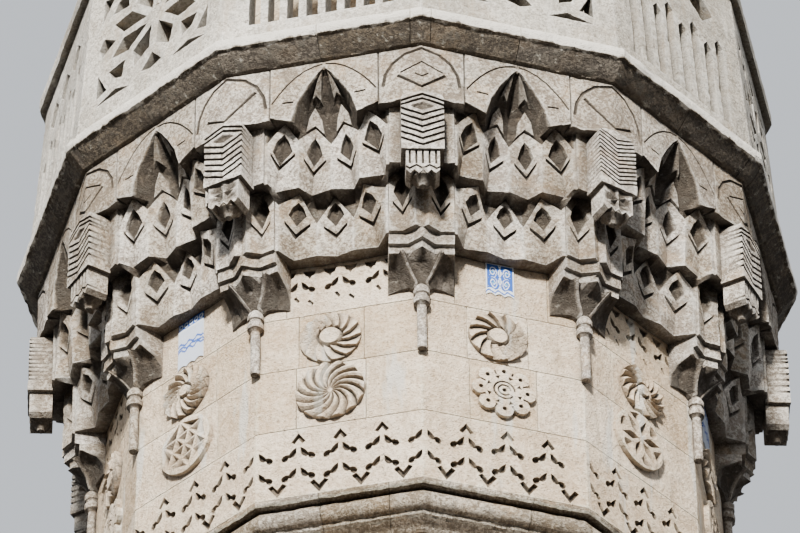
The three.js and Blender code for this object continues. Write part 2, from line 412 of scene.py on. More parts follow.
    @staticmethod
    def back(out, flat, loops, vertex_of, fold):
        """Adds the back, which a fold creases along the middle line."""
        edges = list(loops)
        if fold:
            middle = sorted((i for i, p in enumerate(flat) if abs(p[0]) < 1), key=lambda i: flat[i][1])
            edges.append((middle[0], middle[-1]))
        verts, _, faces, source, _, _ = delaunay_2d_cdt([Vector(p) for p in flat], edges, [], 0, NEAR)
        nearest = [s[0] if s else min(range(len(flat)), key=lambda i: (Vector(flat[i]) - v).length)
                   for v, s in zip(verts, source)]
        for face in faces:
            middle = sum((verts[i] for i in face), Vector((0, 0))) / 3
            if inside(middle.x, middle.y, [(flat[i], flat[j]) for i, j in loops]):
                out.faces.append(tuple(vertex_of[nearest[i]] for i in reversed(face)))


def weather(place, worn, turn, wear):
    """Worn place in metres of a vertex of a block that is turned by `turn` about the axis."""
    x, n, z = place
    along = Vector((math.cos(turn), math.sin(turn), 0))
    p = (along * x + Vector((math.sin(turn), -math.cos(turn), 0)) * n + Vector((0, 0, z))) / 1000
    if worn < 0:
        return p
    out = Vector((p.x, p.y, 0)).normalized()
    loss = wear * (0.9 * noise.noise(p * 8) + 0.7 * noise.noise(p * 30))
    if worn > 0:
        chips = max(0, noise.noise(p * 33 + Vector((7, 1, 3))) - 0.05)
        breaks = max(0, noise.noise(p * 6.5 + Vector((2, 9, 4))) - 0.3)
        loss += worn * wear * (0.7 + 5.5 * chips + 11 * breaks)
        waver = 0.0011
        p.z += worn * waver * noise.noise(p * 41 + Vector((5, 5, 5)))
        p += along * worn * waver * noise.noise(p * 41 + Vector((1, 8, 2)))
    return p - out * (loss / 1000)


def drop_shared(bm):
    """Removes the faces that two neighbouring blocks have in common."""
    seen = {}
    for face in bm.faces:
        seen.setdefault(frozenset(face.verts), []).append(face)
    doubled = [face for same in seen.values() if len(same) > 1 for face in same]
    bmesh.ops.delete(bm, geom=doubled, context="FACES")


def build(name, blocks, stone, nodes, wear=1.0, crease=27):
    """Piece from (block, turn) pairs, which stands for CAD nodes. stone is (material, slot); the slot is
    not used.
    """
    bm = bmesh.new()
    tone = bm.faces.layers.float.new("tone")
    edge = bm.verts.layers.float.new("edge")
    dirt_shade_paint = bm.verts.layers.float.new("dirt_shade_paint")
    for block, turn in blocks:
        verts = []
        for p, worn, dirt_shade_paint_value in zip(block.places, block.worn, block.dirt_shade_paint):
            vert = bm.verts.new(weather(p, worn, turn, wear))
            vert[edge] = max(worn, 0)
            vert[dirt_shade_paint] = dirt_shade_paint_value
            verts.append(vert)
        for face in block.faces:
            if len(set(face)) > 2:
                made = bm.faces.new([verts[i] for i in face])
                made[tone] = Random("%.2f %s" % (turn, block.stone_of(face))).random()
    bmesh.ops.remove_doubles(bm, verts=bm.verts, dist=0.00002)
    bmesh.ops.dissolve_degenerate(bm, dist=0.00001, edges=bm.edges)
    drop_shared(bm)
    bmesh.ops.recalc_face_normals(bm, faces=bm.faces)
    for face in bm.faces:
        face.smooth = True
    for edge in bm.edges:
        edge.smooth = len(edge.link_faces) == 2 and edge.calc_face_angle(0) < math.radians(crease)
    mesh = bpy.data.meshes.new(name)
    bm.to_mesh(mesh)
    bm.free()
    piece = bpy.data.objects.new(name, mesh)
    bpy.context.collection.objects.link(piece)
    material, slot = stone
    mesh.materials.append(material)
    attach(piece, "root")
    if nodes:
        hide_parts(*nodes)


def build_numbered(name, number, blocks, stone, **finish):
    """Piece that stands for the CAD node of the same name and number."""
    build("%s_%02d" % (name, number), blocks, stone, ["%s_%d" % (name, number)], **finish)


def turned(n, profile, count=20, dirt_shade_paint=0.0):
    """Round stem on the upright line n out from the axis, from (radius, z) upwards."""
    out = Block()
    rings = []
    for radius, z in profile:
        rings.append([out.vertex(x, y, z, 0.4, dirt_shade_paint) for x, y in circle(0, n, radius, count)])
    for low, high in zip(rings, rings[1:]):
        out.band(high, low)
    out.faces += [tuple(rings[0]), tuple(reversed(rings[-1]))]
    return out


def plain_back(depth):
    """Behind-function of a block with a flat back at one depth."""
    return lambda x, n, z, b: (x, depth, z)


def radial_back(x, n, z, b):
    """Behind a wall side, whose ends lie on the planes through the axis."""
    return x * BORE_N / n, BORE_N, z


# Side bay of the muqarnas: edges of its cells from the middle line, and how far out they stand
RIDGE_1 = 81
FLANK_1 = 236
RIDGE_2 = 133
FLANK_2 = 262
RIDGE_1_N = 1407
FLANK_1_N = 1470
MIDDLE_2_N = 1481
RIDGE_2_N = 1519
FLANK_2_N = 1566
SLAB_JOINT = 9
BAY_STONES = [(1700, 2088, (-FLANK_1, -RIDGE_1, RIDGE_1, FLANK_1)),
              (2088, 2400, (-FLANK_2, -RIDGE_2, 0, RIDGE_2, FLANK_2)), (2400, 2720, ())]


# Round stems as (radius, height): the colonette under a bracket and the knob under a cleft prow
COLONETTE = [(19, 1206), (22, 1214), (20, 1230), (21, 1330), (20, 1440), (26, 1448), (35, 1454),
             (37, 1470), (35, 1484), (27, 1492), (29, 1500), (35, 1506), (35, 1530), (30, 1542), (20, 1556)]
BELL = [(6, 1902), (16, 1908), (20, 1922), (30, 1934), (48, 1946), (50, 1976)]


def squeezed(start, share):
    """Pattern height of a row: the heads of its cells run up behind the edge above them."""
    return lambda z: z if z < start else start + (z - start) * share


row1_b = squeezed(2000, 0.72)
row2_b = squeezed(2344, 0.5)
corner_b = squeezed(2000, 0.55)


def bay_border():
    """Right half of the outline of a side bay, from the foot to the head."""
    low = flank_x(FLANK_1_N, BRACKET_W + GAP)
    high = flank_x(FLANK_2_N, BRACKET_W + GAP)
    slab_in = flank_x(FLANK_2_N, LUNETTE_W + GAP)
    slab_out = flank_x(SLAB_N, LUNETTE_W + GAP)
    joint_n = SLAB_N - SLAB_JOINT
    return [(0, ROW1_Z, 1379), (RIDGE_1, ROW1_Z, RIDGE_1_N, RIDGE_1, ROW1_Z - 6), (182, ROW1_Z, 1393),
            (FLANK_1, ROW1_Z, FLANK_1_N), (low, ROW1_Z, FLANK_1_N), (low, 2048, 1480, low, 2062),
            (high, ROW2_Z, FLANK_2_N), (high, 2338, FLANK_2_N, high, 2330),
            (high, 2408, FLANK_2_N, high, 2413), (slab_in + 3, 2411, FLANK_2_N, slab_in, SLAB_Z),
            *dark((slab_out, 2432, joint_n, slab_out, 2424), (slab_out, CORNICE_Z - GAP, joint_n))]


BAY_BORDER = bay_border()
ROW1_HEAD, ROW2_FOOT, ROW2_HEAD = BAY_BORDER[5:8]
SLAB_EDGE = BAY_BORDER[10][0]


def bay_behind(x, n, z, b):
    """Behind a side bay, whose ends follow the flanks of the corner pieces."""
    flank = (LUNETTE_W if b > 2410 else BRACKET_W) + GAP
    back = DRUM_N + GAP
    return x * flank_x(back, flank) / flank_x(n, flank), back, z


def side_bay(seed):
    relief = Relief(SLAB_N, BAY_STONES)
    relief.outline(BAY_BORDER + mirrored(BAY_BORDER)[:-1])
    row1_cells(relief)
    row2_cells(relief)
    fan_niche(relief)
    slab_marks(relief)
    return relief.block(bay_behind, 30, 15, seed)


def cell(relief, side, inner, outer, foot, top, gables, leaf, mark, b_of):
    """Hollow cell between two upright ridges and a crease that comes forward from its foot to
    the head of its gable, with a leaf recess and a bent cut under it. foot and top of the
    crease are (distance from the middle line, out, height), ridges (distance, out at the foot,
    out at the head); side mirrors them. gables are the shares of the way from a ridge to the
    crease with their heights, leaf is head, waist, tip, spread, and mark wing, bottom, spread."""
    def up(z):
        return min(1, max(0, (z - foot[2]) / (top[2] - foot[2])))

    def crease(z):
        return lerp(foot[:2], top[:2], up(z) ** 1.2)

    def spot(x, z, depth=0.0):
        u, n = crease(z)
        edge = inner if side * x < u else outer
        beside = edge[1] + (edge[2] - edge[1]) * up(z)
        return (x, b_of(z), n + (beside - n) * min(1, (side * x - u) / (edge[0] - u)) - depth, x, z)

    def at(z, edge=None, share=0.0):
        u = crease(z)[0]
        return (side * (u + ((edge[0] - u) * share if edge else 0)), z)

    def recess(loop, *shape):
        relief.cut(loop if side > 0 else loop[::-1], *shape)

    for edge, gable in ((inner, gables[0]), (outer, gables[1])):
        line = [spot(*at(z, edge, 1 - f)) for f, z in gable] + [spot(*at(top[2]))]
        relief.line(line, 0.8)
        # A deeper line just behind each gable edge, painted dark: painted shadow under the edge.
        relief.line([(x, b + 5, n - 16, x, z + 5, 1.0) for x, b, n, _, z in line], 0)

    head, waist, tip, spread = leaf
    bulge = (head + waist) / 2 + 9
    sunk = (head - tip) * 0.13
    recess([at(head), at(bulge, inner, 0.6 * spread), at(waist, inner, spread), at(tip),
            at(waist, outer, spread), at(bulge, outer, 0.6 * spread)],
           20, 4.5, spot, [at(head - sunk), at(tip + sunk)])

    wing, low, reach = mark
    bar = 18
    recess([at(wing, inner, reach), at(low), at(wing, outer, reach), at(wing + bar, outer, reach),
            at(low + bar * 1.5), at(wing + bar, inner, reach)], 15, 3, spot)
    for z0, z1 in ((foot[2], low), (low + bar * 1.5, tip), (head, top[2])):
        relief.line([spot(*at(z0)), spot(*at(z1))], 0)


def row1_cells(relief):
    """Three cells of the lower row of a side, and the pockets between their gables, darkened with painted
    shade and dirt.
    """
    end = (FLANK_1, row1_b(2048), FLANK_1_N, FLANK_1, 2048)
    relief.both([(RIDGE_1, ROW1_Z, RIDGE_1_N), (RIDGE_1, 1963, RIDGE_1_N)])
    relief.both([(FLANK_1, ROW1_Z, FLANK_1_N), end])
    relief.both([end, ROW1_HEAD], 0.6)
    relief.both([shaded_and_soiled((RIDGE_1, 1968, 1391), 0.8), shaded_and_soiled((84, 2046, 1388, 84, 2066), 0.6),
                 shaded_and_soiled((92, 2087, 1440, 92, 2092))], 0)
    slope = [(0, 1963), (0.3, 2006), (0.65, 2050)]
    near, far = (RIDGE_1, RIDGE_1_N, RIDGE_1_N), (FLANK_1, FLANK_1_N, FLANK_1_N)
    cell(relief, 1, (-RIDGE_1, RIDGE_1_N, RIDGE_1_N), near, (0, 1379, ROW1_Z), (0, 1416, 2093),
         (slope, slope), (2063, 1993, 1940, 0.49), (1930, 1874, 0.65), row1_b)
    for side in (1, -1):
        cell(relief, side, near, far, (185, 1393, ROW1_Z), (141, 1477, 2082),
             (slope, [(0, 2048), (0.5, 2064)]), (2047, 1993, 1941, 0.48), (1944, 1881, 0.68), row1_b)


def row2_cells(relief):
    """Two pairs of cells of the upper row of a side."""
    middle = (0, ROW2_Z, MIDDLE_2_N, 0, ROW2_Z - 10)
    ridge = (RIDGE_2, ROW2_Z, RIDGE_2_N, RIDGE_2, ROW2_Z - 9)
    flank = (FLANK_2, ROW2_Z, FLANK_2_N)
    flank_head = (FLANK_2, 2330, FLANK_2_N)
    relief.both([middle, (92, ROW2_Z, 1448), ridge, (238, ROW2_Z, 1505), flank, ROW2_FOOT])
    relief.both([middle, (0, 2344, MIDDLE_2_N)])
    relief.both([ridge, (RIDGE_2, row2_b(2347), 1535, RIDGE_2, 2347)])
    relief.both([flank, flank_head])
    relief.both([flank_head, ROW2_HEAD], 0.5)
    # Dark points behind the flank head: painted shade and dirt.
    relief.both(dark((FLANK_2, 2335, 1550), (250, 2390, 1556, 250, 2418)), 0)
    near, far = (RIDGE_2, RIDGE_2_N, 1539), (FLANK_2, FLANK_2_N, FLANK_2_N)
    for side in (1, -1):
        cell(relief, side, (0, MIDDLE_2_N, MIDDLE_2_N), near, (92, 1448, ROW2_Z), (62, 1506, 2424),
             ([(0, 2344), (0.4, 2382), (0.75, 2409)], [(0, 2347), (0.4, 2382), (0.75, 2409)]),
             (2380, 2287, 2238, 0.5), (2246, 2186, 0.7), row2_b)
        cell(relief, side, near, far, (238, 1505, ROW2_Z), (180, 1575, 2418),
             ([(0, 2347), (0.4, 2380), (0.75, 2405)], [(0, 2330), (0.35, 2366), (0.7, 2398)]),
             (2370, 2286, 2220, 0.66), (2259, 2194, 0.8), row2_b)


def raised(relief, loop, drop, dirt_shade_paint):
    """Face of (a, b, n, x, z) points that stands proud by `drop` of ground darkened with painted shade and
    dirt.
    """
    relief.line([p + (dirt_shade_paint,) for p in loop], 0.8, closed=True)
    ground = []
    for (a, b, n, x, z), (a1, b1) in zip(loop, inset([p[:2] for p in loop], -4)):
        ground.append((a1, b1, n - drop, x + a1 - a, z + b1 - b, 1.0))
    relief.line(ground, 0, closed=True)


def fan_niche(relief):
    """Folded pointed niche over the two inner cells of row 2, and the foot of the slab. Over
    each cell two small gabled faces stand one above the other between valleys darkened with
    painted shade and dirt."""
    front = [(36, 2634), (78, 2568), (120, 2487)]
    mouth_foot = (147, 2412, SLAB_N, 147, 2384)
    edge = SLAB_EDGE - 5
    foot = [mouth_foot, (160, 2413, SLAB_N, 160, 2388), (205, 2420, SLAB_N, 205, 2408),
            (edge, 2430, SLAB_N, edge, 2422)]
    relief.both([foot[-1], (edge, CORNICE_Z - GAP, SLAB_N)], 0.8)
    relief.both([(0, 2678, SLAB_N)] + [(a, b, SLAB_N) for a, b in front] + [mouth_foot])
    # Dark line just under the slab foot: painted shadow.
    relief.both([(x, b - 4, n - 12, x, z + 2, 1.0) for _, b, n, x, z in foot], 0)
    relief.both(foot, 1.5)
    rim = [(a - 5, b - 3, SLAB_N - 10) for a, b in reversed(front)]
    relief.both(dark((142, 2400, 1590, 139, 2384), *rim), 0)
    relief.line(dark((0, 2352, 1464), (0, 2420, 1462, 0, 2430), (0, 2540, 1500, 0, 2548),
                     (0, 2620, 1560, 0, 2624), (0, 2664, 1612)), 0)
    relief.both(dark((133, 2351, 1518, 133, 2352), (122, 2400, 1540, 118, 2420),
                     (100, 2470, 1530, 98, 2480), (72, 2550, 1560, 72, 2556),
                     (40, 2612, 1590, 40, 2616)), 0)
    lower = [(30, 2406, 1498, 28, 2398), (64, 2418, 1518, 62, 2434), (98, 2406, 1526, 100, 2400),
             (86, 2460, 1532, 86, 2470), (58, 2508, 1540, 58, 2517), (36, 2460, 1512, 36, 2470)]
    upper = [(28, 2540, 1556, 30, 2544), (46, 2552, 1575, 46, 2560), (64, 2540, 1570, 62, 2544),
             (34, 2618, 1600, 34, 2622), (12, 2654, 1614, 12, 2656)]
    for side in (1, -1):
        # The upper faces, deeper in the niche, get more painted shade.
        for face, dirt_shade_paint in ((lower, 0.12), (upper, 0.5)):
            loop = [(side * a, b, n, side * x, z) for a, b, n, x, z in face]
            raised(relief, loop[::side], 20, dirt_shade_paint)
            relief.line([loop[1], loop[4]], 0.2)


def slab_marks(relief):
    """Incised arc over the niche and the two short level joints beside it."""
    arc = [(a, 2694 - 0.0036 * a * a) for a in (6, 45, 90, 130, 165, 200, 232)]
    for side in (1, -1):
        relief.groove([(side * a, z) for a, z in arc][::side], 9, 7)
        relief.groove([(side * 134, 2494), (side * 186, 2497)][::side], 10, 9)


# Coved fan of a corner bracket: height, rib (along, out), middle out, hollow out, edge out
FAN = [(1532, 14, 1400, 1414, 1366, 1346), (1566, 22, 1408, 1412, 1364, 1350),
       (1610, 45, 1424, 1420, 1368, 1358), (1650, 66, 1448, 1444, 1392, 1384),
       (CAP_Z, 87, 1482, 1513, 1440, 1450)]
PROW_N = 1526
WING_N = 1542
CLEFT = 28
CELL_EDGE_N = 1498
ROW2_N = 1596


def corner_border():
    """Right half of the outline of a corner piece, from the foot to the head."""
    w = BRACKET_W
    joint_n = SLAB_R - LUNETTE_W * TAN - SLAB_JOINT
    # The fan's outline is darkened with painted shade.
    return [*dark((0, BRACKET_Z, 1414), (14, BRACKET_Z, 1400), (30, 1541, 1396), (52, 1560, 1386),
                  (96, 1560, 1368), (w, 1551, 1350), (w, 1610, 1358), (w, 1650, 1384)),
            (w, CAP_Z - 2, 1450, w, CAP_Z), (w, CAP_Z, 1463), (w, CAP_STEP_Z - 2, 1463, w, CAP_STEP_Z - 4),
            (w, CAP_STEP_Z, 1482), (w, ROW1_Z - 3, 1482), (w, ROW1_Z, CELL_EDGE_N),
            (w, corner_b(2082), 1500, w, 2082), (w, ROW2_Z, ROW2_N), (w, 2409, ROW2_N, w, 2412),
            (LUNETTE_W - 10, 2411, ROW2_N, LUNETTE_W, SLAB_Z),
            *dark((LUNETTE_W, 2416, joint_n, LUNETTE_W, SLAB_Z - 4),
                  (LUNETTE_W, CORNICE_Z - GAP, joint_n)),
            (0, CORNICE_Z - GAP, SLAB_R)]


CORNER_BORDER = corner_border()
FAN_EDGE = CORNER_BORDER[4]
CAP_EDGE = CORNER_BORDER[8]
CELL_EDGE = CORNER_BORDER[13]
HANG_EDGE, HANG_HEAD = CORNER_BORDER[15:17]


def corner_behind(x, n, z, b):
    return x, DRUM_R + GAP - abs(x) * TAN, z


def fan_out(row, x):
    """How far out the coved fan stands at distance x from its middle, in one row of FAN."""
    _, rib, rib_n, middle_n, hollow_n, edge_n = row
    stops = [(0, middle_n), (rib, rib_n), ((rib + BRACKET_W) / 2 + 4, hollow_n), (BRACKET_W, edge_n)]
    for (x0, n0), (x1, n1) in zip(stops, stops[1:]):
        if x <= x1:
            return n0 + (n1 - n0) * (x - x0) / (x1 - x0)
    return edge_n


def fan(relief):
    """Fan darkened with painted shade, with two thin ribs left light that spread from the capital."""
    rows = [(min(row[0], CAP_Z - 2), row) for row in FAN]
    for shift, rise, dirt_shade_paint in ((-9, 0, 1.0), (-4, 9, 0.0), (4, 9, 0.0), (9, 0, 1.0)):
        points = [(row[1] + shift, z, fan_out(row, row[1] + shift) + rise) for z, row in rows[1:]]
        relief.both([shaded_and_soiled(p, dirt_shade_paint) for p in points], 0.6 if rise else 0)
    hollow = [((row[1] + BRACKET_W) / 2 + 4, z, row[4]) for z, row in rows[1:]]
    relief.both([FAN_EDGE] + dark(*hollow), 0.1)
    relief.line(dark(*[(0, z, row[3]) for z, row in rows]), 0.1)


def cap(relief):
    """Stepped cap over the fan, with a prow in the middle."""
    for z0, z1, prow, flank, reach in ((CAP_Z, CAP_STEP_Z - 2, 1513, 1463, 56),
                                       (CAP_STEP_Z, ROW1_Z - 3, 1532, 1482, 60)):
        for z in (z0, z1):
            shown = z if z != CAP_STEP_Z - 2 else z - 2
            relief.both([(0, z, prow, 0, shown), (reach, z, flank, reach, shown),
                         (BRACKET_W, z, flank, BRACKET_W, shown)], 0.9)


def corner_cells(relief):
    """Row 1 of a corner: a cleft prow between two cells with tall leaves, whose heads run up
    into painted shade and dirt behind the hanging block."""
    prow = (0, ROW1_Z, PROW_N)
    prow_head = (0, corner_b(2100), PROW_N, 0, 2100)
    wing = (CLEFT, ROW1_Z, WING_N)
    wing_head = (CLEFT, corner_b(2100), WING_N, CLEFT, 2100)
    relief.both([prow, wing, (81, ROW1_Z, CELL_EDGE_N), CELL_EDGE])
    relief.both([prow, prow_head], 0)
    relief.both([wing, wing_head])
    relief.both([prow_head, wing_head], 0.5)
    relief.line([shaded_and_soiled((0, 2086, 1500, 0, 2150)), (0, ROW2_Z, ROW2_N)], 0)
    for side in (1, -1):
        cell(relief, side, (CLEFT, WING_N, WING_N), (BRACKET_W - 3, CELL_EDGE_N, 1500),
             (81, CELL_EDGE_N, ROW1_Z), (81, 1488, 2148),
             ([(0, 2100), (0.5, 2128)], [(0, 2086), (0.5, 2122)]),
             (2112, 2010, 1922, 0.7), (1940, 1872, 0.75), corner_b)


def corner_sheet(motif, seed):
    """Face of a corner: fan, cap, cells and the slab with its motif."""
    levels = (1500, CAP_Z - 1, CAP_STEP_Z - 3, ROW1_Z - 2, ROW2_Z, 2400, 2720)
    stones = [(low, high, (0,) if low == ROW1_Z - 2 else ()) for low, high in zip(levels, levels[1:])]
    relief = Relief(0, stones)
    relief.outline(CORNER_BORDER + mirrored(CORNER_BORDER)[1:-1])
    fan(relief)
    relief.both([(0, CAP_Z - 2, 1506), (60, CAP_Z - 2, 1456), (87, CAP_Z - 2, 1450), CAP_EDGE], 0.3)
    cap(relief)
    corner_cells(relief)
    relief.both([(0, ROW2_Z, ROW2_N), HANG_EDGE])
    joint = (LUNETTE_W - 5, 2415, SLAB_R - LUNETTE_W * TAN, LUNETTE_W - 5, SLAB_Z - 4)
    middle = (0, 2412, SLAB_R, 0, SLAB_Z)
    relief.both([joint, (joint[0], CORNICE_Z - GAP, joint[2])], 0.8)
    # Dark point behind the hanging block: painted shade and dirt.
    relief.both([shaded_and_soiled((0, 2408, 1600, 0, SLAB_Z)), HANG_HEAD], 0)
    relief.both([middle, (70, 2412, SLAB_R - 70 * TAN, 70, SLAB_Z - 2),
                 (130, 2413, SLAB_R - 130 * TAN, 130, SLAB_Z - 10), joint], 1.4)
    relief.line([middle, CORNER_BORDER[-1]], 0.5)
    motif(relief)
    return relief.block(corner_behind, 30, 15, seed, fold=True)


def slab_spot(x, z, depth=0.0):
    """Pattern point on the folded face of a corner slab."""
    return (x, z, SLAB_R - abs(x) * TAN - depth)


def pointed_arch(relief, half_width, spring, top):
    """Incised pointed arch on the corner slab."""
    points = []
    for f in (-0.98, -0.78, -0.55, -0.3, 0, 0.3, 0.55, 0.78, 0.98):
        turn = (1 - abs(f)) * math.pi / 2
        x = half_width * math.cos(turn) * math.copysign(1, f)
        points.append((-x, spring + (top - spring) * math.sin(turn) ** 0.9))
    relief.groove(points, 17, 9, slab_spot)


def slab_diamond(relief):
    """Diamond with a small bent line in it, under the arch of a slab."""
    pointed_arch(relief, 166, 2488, 2690)
    for half_width, end_z, middle_z, width, depth in ((104, 2552, 2462, 17, 12), (92, 2566, 2610, 10, 8),
                                                      (30, 2548, 2524, 9, 7)):
        relief.groove([(half_width, end_z), (0, middle_z), (-half_width, end_z)], width, depth, slab_spot)


def slab_bent_line(way):
    """Motif with one bent line under the arch of a slab, mirrored where way is -1."""
    def motif(relief):
        pointed_arch(relief, 170, 2470, 2694)
        relief.groove([(way * 126, 2590), (way * -12, 2452), (way * -112, 2508)][::way], 17, 12, slab_spot)
    return motif


HANG_BACK_N = 1590


def pendant_block(pitch, seed):
    """Hanging block with chevron ribs and a rounded head."""
    front = 1704
    relief = Relief(front)
    half = [(0, 2074, front), (PENDANT_W, 2074, front), (PENDANT_W, 2372, front), (84, 2392, front - 4),
            (58, 2410, front - 10), (0, 2422, front - 14)]
    relief.outline(half + mirrored(half)[1:-1])
    coarse = pitch > 30
    bar = 7.5 if coarse else 5.5
    reach = PENDANT_W + 6
    lines = [(2097 + i * pitch, -42) for i in range(6 if coarse else 12)]
    if coarse:
        lines += [(2394, 42), (2368, 40)]
    for z, rise in lines:
        low = z - rise
        foot = [(-reach, low - bar), (0, z - bar), (reach, low - bar)]
        relief.cut(foot + [(x, y + 2 * bar) for x, y in reversed(foot)], 13)
    if coarse:
        relief.cut([(0, 2296), (60, 2322), (0, 2348), (-60, 2322)], 8, 9)
    return relief.block(plain_back(HANG_BACK_N), 30, 12, seed)


def folded_star(relief, points):
    """Star of folded rays sunk in the front of a tassel, the folds darkened with painted shade and dirt."""
    centre_z = 2018
    low = 16
    turns = [i * math.pi / points + math.pi / 2 for i in range(2 * points)]
    tips = [relief.level(*polar(0, centre_z, 50, a), 2) for a in turns[::2]]
    folds = [relief.level(*polar(0, centre_z, 20, a), low) for a in turns[1::2]]
    ring = [p for pair in zip(tips, dark(*folds)) for p in pair]
    relief.line(ring, 0.5, closed=True)
    for i, p in enumerate(ring):
        relief.line([relief.level(0, centre_z), p], 0 if i % 2 else 0.6)
    for i in range(2 * points):
        a, z = polar(0, centre_z, 56, (i + 0.5) * math.pi / points + math.pi / 2)
        if abs(a) < TASSEL_W - 3:
            relief.line([folds[i // 2], shaded_and_soiled(relief.level(a, z, 8))], 0)


def tassel_block(kind, seed):
    """Toothed block under a hanging block, with flutes or a star."""
    front = 1692
    relief = Relief(front)
    teeth = 4
    pitch = 2 * TASSEL_W / teeth
    foot = []
    for i in range(teeth):
        x = -TASSEL_W + i * pitch
        foot += [(x, 1962, front), (x + pitch / 2, 1942, front)]
    relief.outline(foot + [(TASSEL_W, 1962, front), (TASSEL_W, 2116, front), (-TASSEL_W, 2116, front)])
    if kind == "flutes":
        for x in range(-56, 57, 28):
            relief.cut([(x - 5, 1996), (x + 5, 1996), (x + 5, 2120), (x - 5, 2120)], 13)
        teeth_tops = [(-TASSEL_W + (i + 0.5) * TASSEL_W * 0.4, 1988 if i % 2 else 1968) for i in range(5)]
        relief.groove([(-TASSEL_W - 4, 1980)] + teeth_tops + [(TASSEL_W + 4, 1980)], 12, 10)
    else:
        folded_star(relief, 4 if kind == "cross" else 6)
    return relief.block(plain_back(HANG_BACK_N), 30, 12, seed)


WALL_COURSES = (889, 1221, 1510)


def wall_outline(relief, r, z0, z1):
    half = r * SIN
    relief.outline([relief.level(x, z) for x, z in ((-half, z0), (half, z0), (half, z1), (-half, z1))])


def course(relief, z):
    """Open joint along a whole side. It runs on round the corner lines."""
    half = relief.flat_n * TAN
    for rise, sunk, worn in JOINT_SECTION:
        n = relief.flat_n - sunk
        relief.line([(side * half, z + rise, n, side * n * TAN, z + rise) for side in (-1, 1)], worn)


def upright(relief, x, z0, z1):
    """Open upright joint between two level joints."""
    for shift, sunk, worn in JOINT_SECTION:
        relief.line([relief.level(x + shift, z, sunk) for z in (z0 + JOINT, z1 - JOINT)], worn)


# Two-lobed leaf that hangs beside the stem of a cypress
LEAF = [(8, 6), (9, -26), (18, -43), (31, -50), (42, -47), (46, -60), (58, -68), (70, -62), (74, -48),
        (66, -34), (52, -28), (42, -30), (34, -17), (21, -3)]
CYPRESS_CAP = [(-32, 813), (-16, 802), (0, 826), (16, 802), (32, 813), (0, 859)]
LEAF_ROWS = (779, 669)
CHEVRON = [(-41, 588), (0, 529), (41, 588), (22, 601), (0, 570), (-22, 601)]
CYPRESS_PITCH = 178.6


def stamp(relief, x, z, loop, depth, slope=2.5):
    """Cut of a loop of points that is moved to (x, z)."""
    relief.cut([(x + a, z + b) for a, b in loop], depth, slope)


def leaves(relief, x, z, grow=1.0, sides=(1, -1)):
    """Pair of two-lobed leaf cuts hanging from a stem at x."""
    for side in sides:
        stamp(relief, x, z, [(side * a * grow, b * grow) for a, b in LEAF][::side], 20)


def cypress_frieze(relief, offset, seed):
    """Columns of cypress carving, a bent cap over two pairs of leaves, and chevrons between.
    Where a column stands at the corner, this side shows half of it."""
    rng = Random(seed)
    half = relief.flat_n * TAN
    for i in range(-2, 3):
        x = offset + i * CYPRESS_PITCH
        side = -1 if x > 0 else 1
        if abs(x) < half - 72:
            lift = rng.uniform(-4, 4)
            stamp(relief, x, lift, CYPRESS_CAP, 18)
            for z in LEAF_ROWS:
                leaves(relief, x, z + lift)
        elif abs(x + side * 10) < half:
            for z in LEAF_ROWS:
                leaves(relief, x, z, 0.95, (side,))
    for i in range(-2, 2):
        x = offset + (i + 0.5) * CYPRESS_PITCH
        if abs(x) < half - 38:
            stamp(relief, x, 0, CHEVRON, 18)


def half_trees(relief):
    """Remains of the frieze under the cells: one pair of leaves and small marks below."""
    middle = 4
    for i in (-1, 0, 1):
        x = middle + i * CYPRESS_PITCH
        leaves(relief, x, 1704, 0.95)
        stamp(relief, x, 0, [(-26, 1618), (-6, 1590), (2, 1600), (-14, 1626)], 10)
        stamp(relief, x, 0, [(34, 1592), (58, 1566), (64, 1578), (44, 1602)], 10)
    for i in range(-3, 3):
        stamp(relief, middle + (i + 0.5) * CYPRESS_PITCH / 2, 0,
             [(-30, 1768), (-20, 1740), (-9, 1734), (0, 1718), (9, 1734), (20, 1740), (30, 1768)], 12, 3)


def drum_side(uprights, offset, seed, carve=None):
    """Side of the drum with upright joints (x, course) and the frieze moved by offset."""
    ends = (DRUM_Z, *WALL_COURSES, CORNICE_Z)
    stones = [(low, high, [x for x, row in uprights if row == i])
              for i, (low, high) in enumerate(zip(ends, ends[1:]))]
    relief = Relief(DRUM_N, stones)
    wall_outline(relief, DRUM_R, DRUM_Z, CORNICE_Z - GAP)
    for z in WALL_COURSES:
        course(relief, z)
    levels = (DRUM_Z + 350, *WALL_COURSES, 1790)
    for x, row in uprights:
        upright(relief, x, levels[row], levels[row + 1])
    cypress_frieze(relief, offset, seed)
    if carve:
        carve(relief)
    return relief.block(radial_back, 34, 17, seed)


# Raised round carvings: drop of the middle, radii of the rings, number of spokes, phases of
# one spoke, turn of the spokes at the rim, flat steps (out to a radius, height) and the height
# of a spoke at a radius and phase
ROSETTES = {
    "wedges": (6, (20, 42, 54, 60, 88, 114, 133), 13, (0.03, 0.4, 0.8, 0.97), 0.9, ((44, 27), (57, 5)),
               lambda r, f: 8 + 22 * (1 - f) * min(1, (150 - r) / 40 + 0.2)),
    "saw": (6, (18, 38, 50, 56, 82, 106, 128), 12, (0.03, 0.35, 0.7, 0.97), 0.85, ((40, 27), (53, 5)),
            lambda r, f: 8 + 22 * f),
    "pinwheel": (0, (10, 28, 50, 75, 100, 125, 149), 14, (0.0, 0.2, 0.4, 0.6, 0.8), -1.15, ((12, 18),),
                 lambda r, f: 4 + 25 * math.sin(math.pi * f ** 0.8) * min(1, 0.5 + r / 120)),
    "swirl": (0, (14, 26, 34, 44, 58, 82, 106, 128), 15, (0.0, 0.22, 0.5, 0.78), 0.95,
              ((27, 30), (36, 6), (46, 24)), lambda r, f: 3 + 26 * math.sin(math.pi * f)),
}
MEDALLION_FOOT_N = DRUM_N - 8


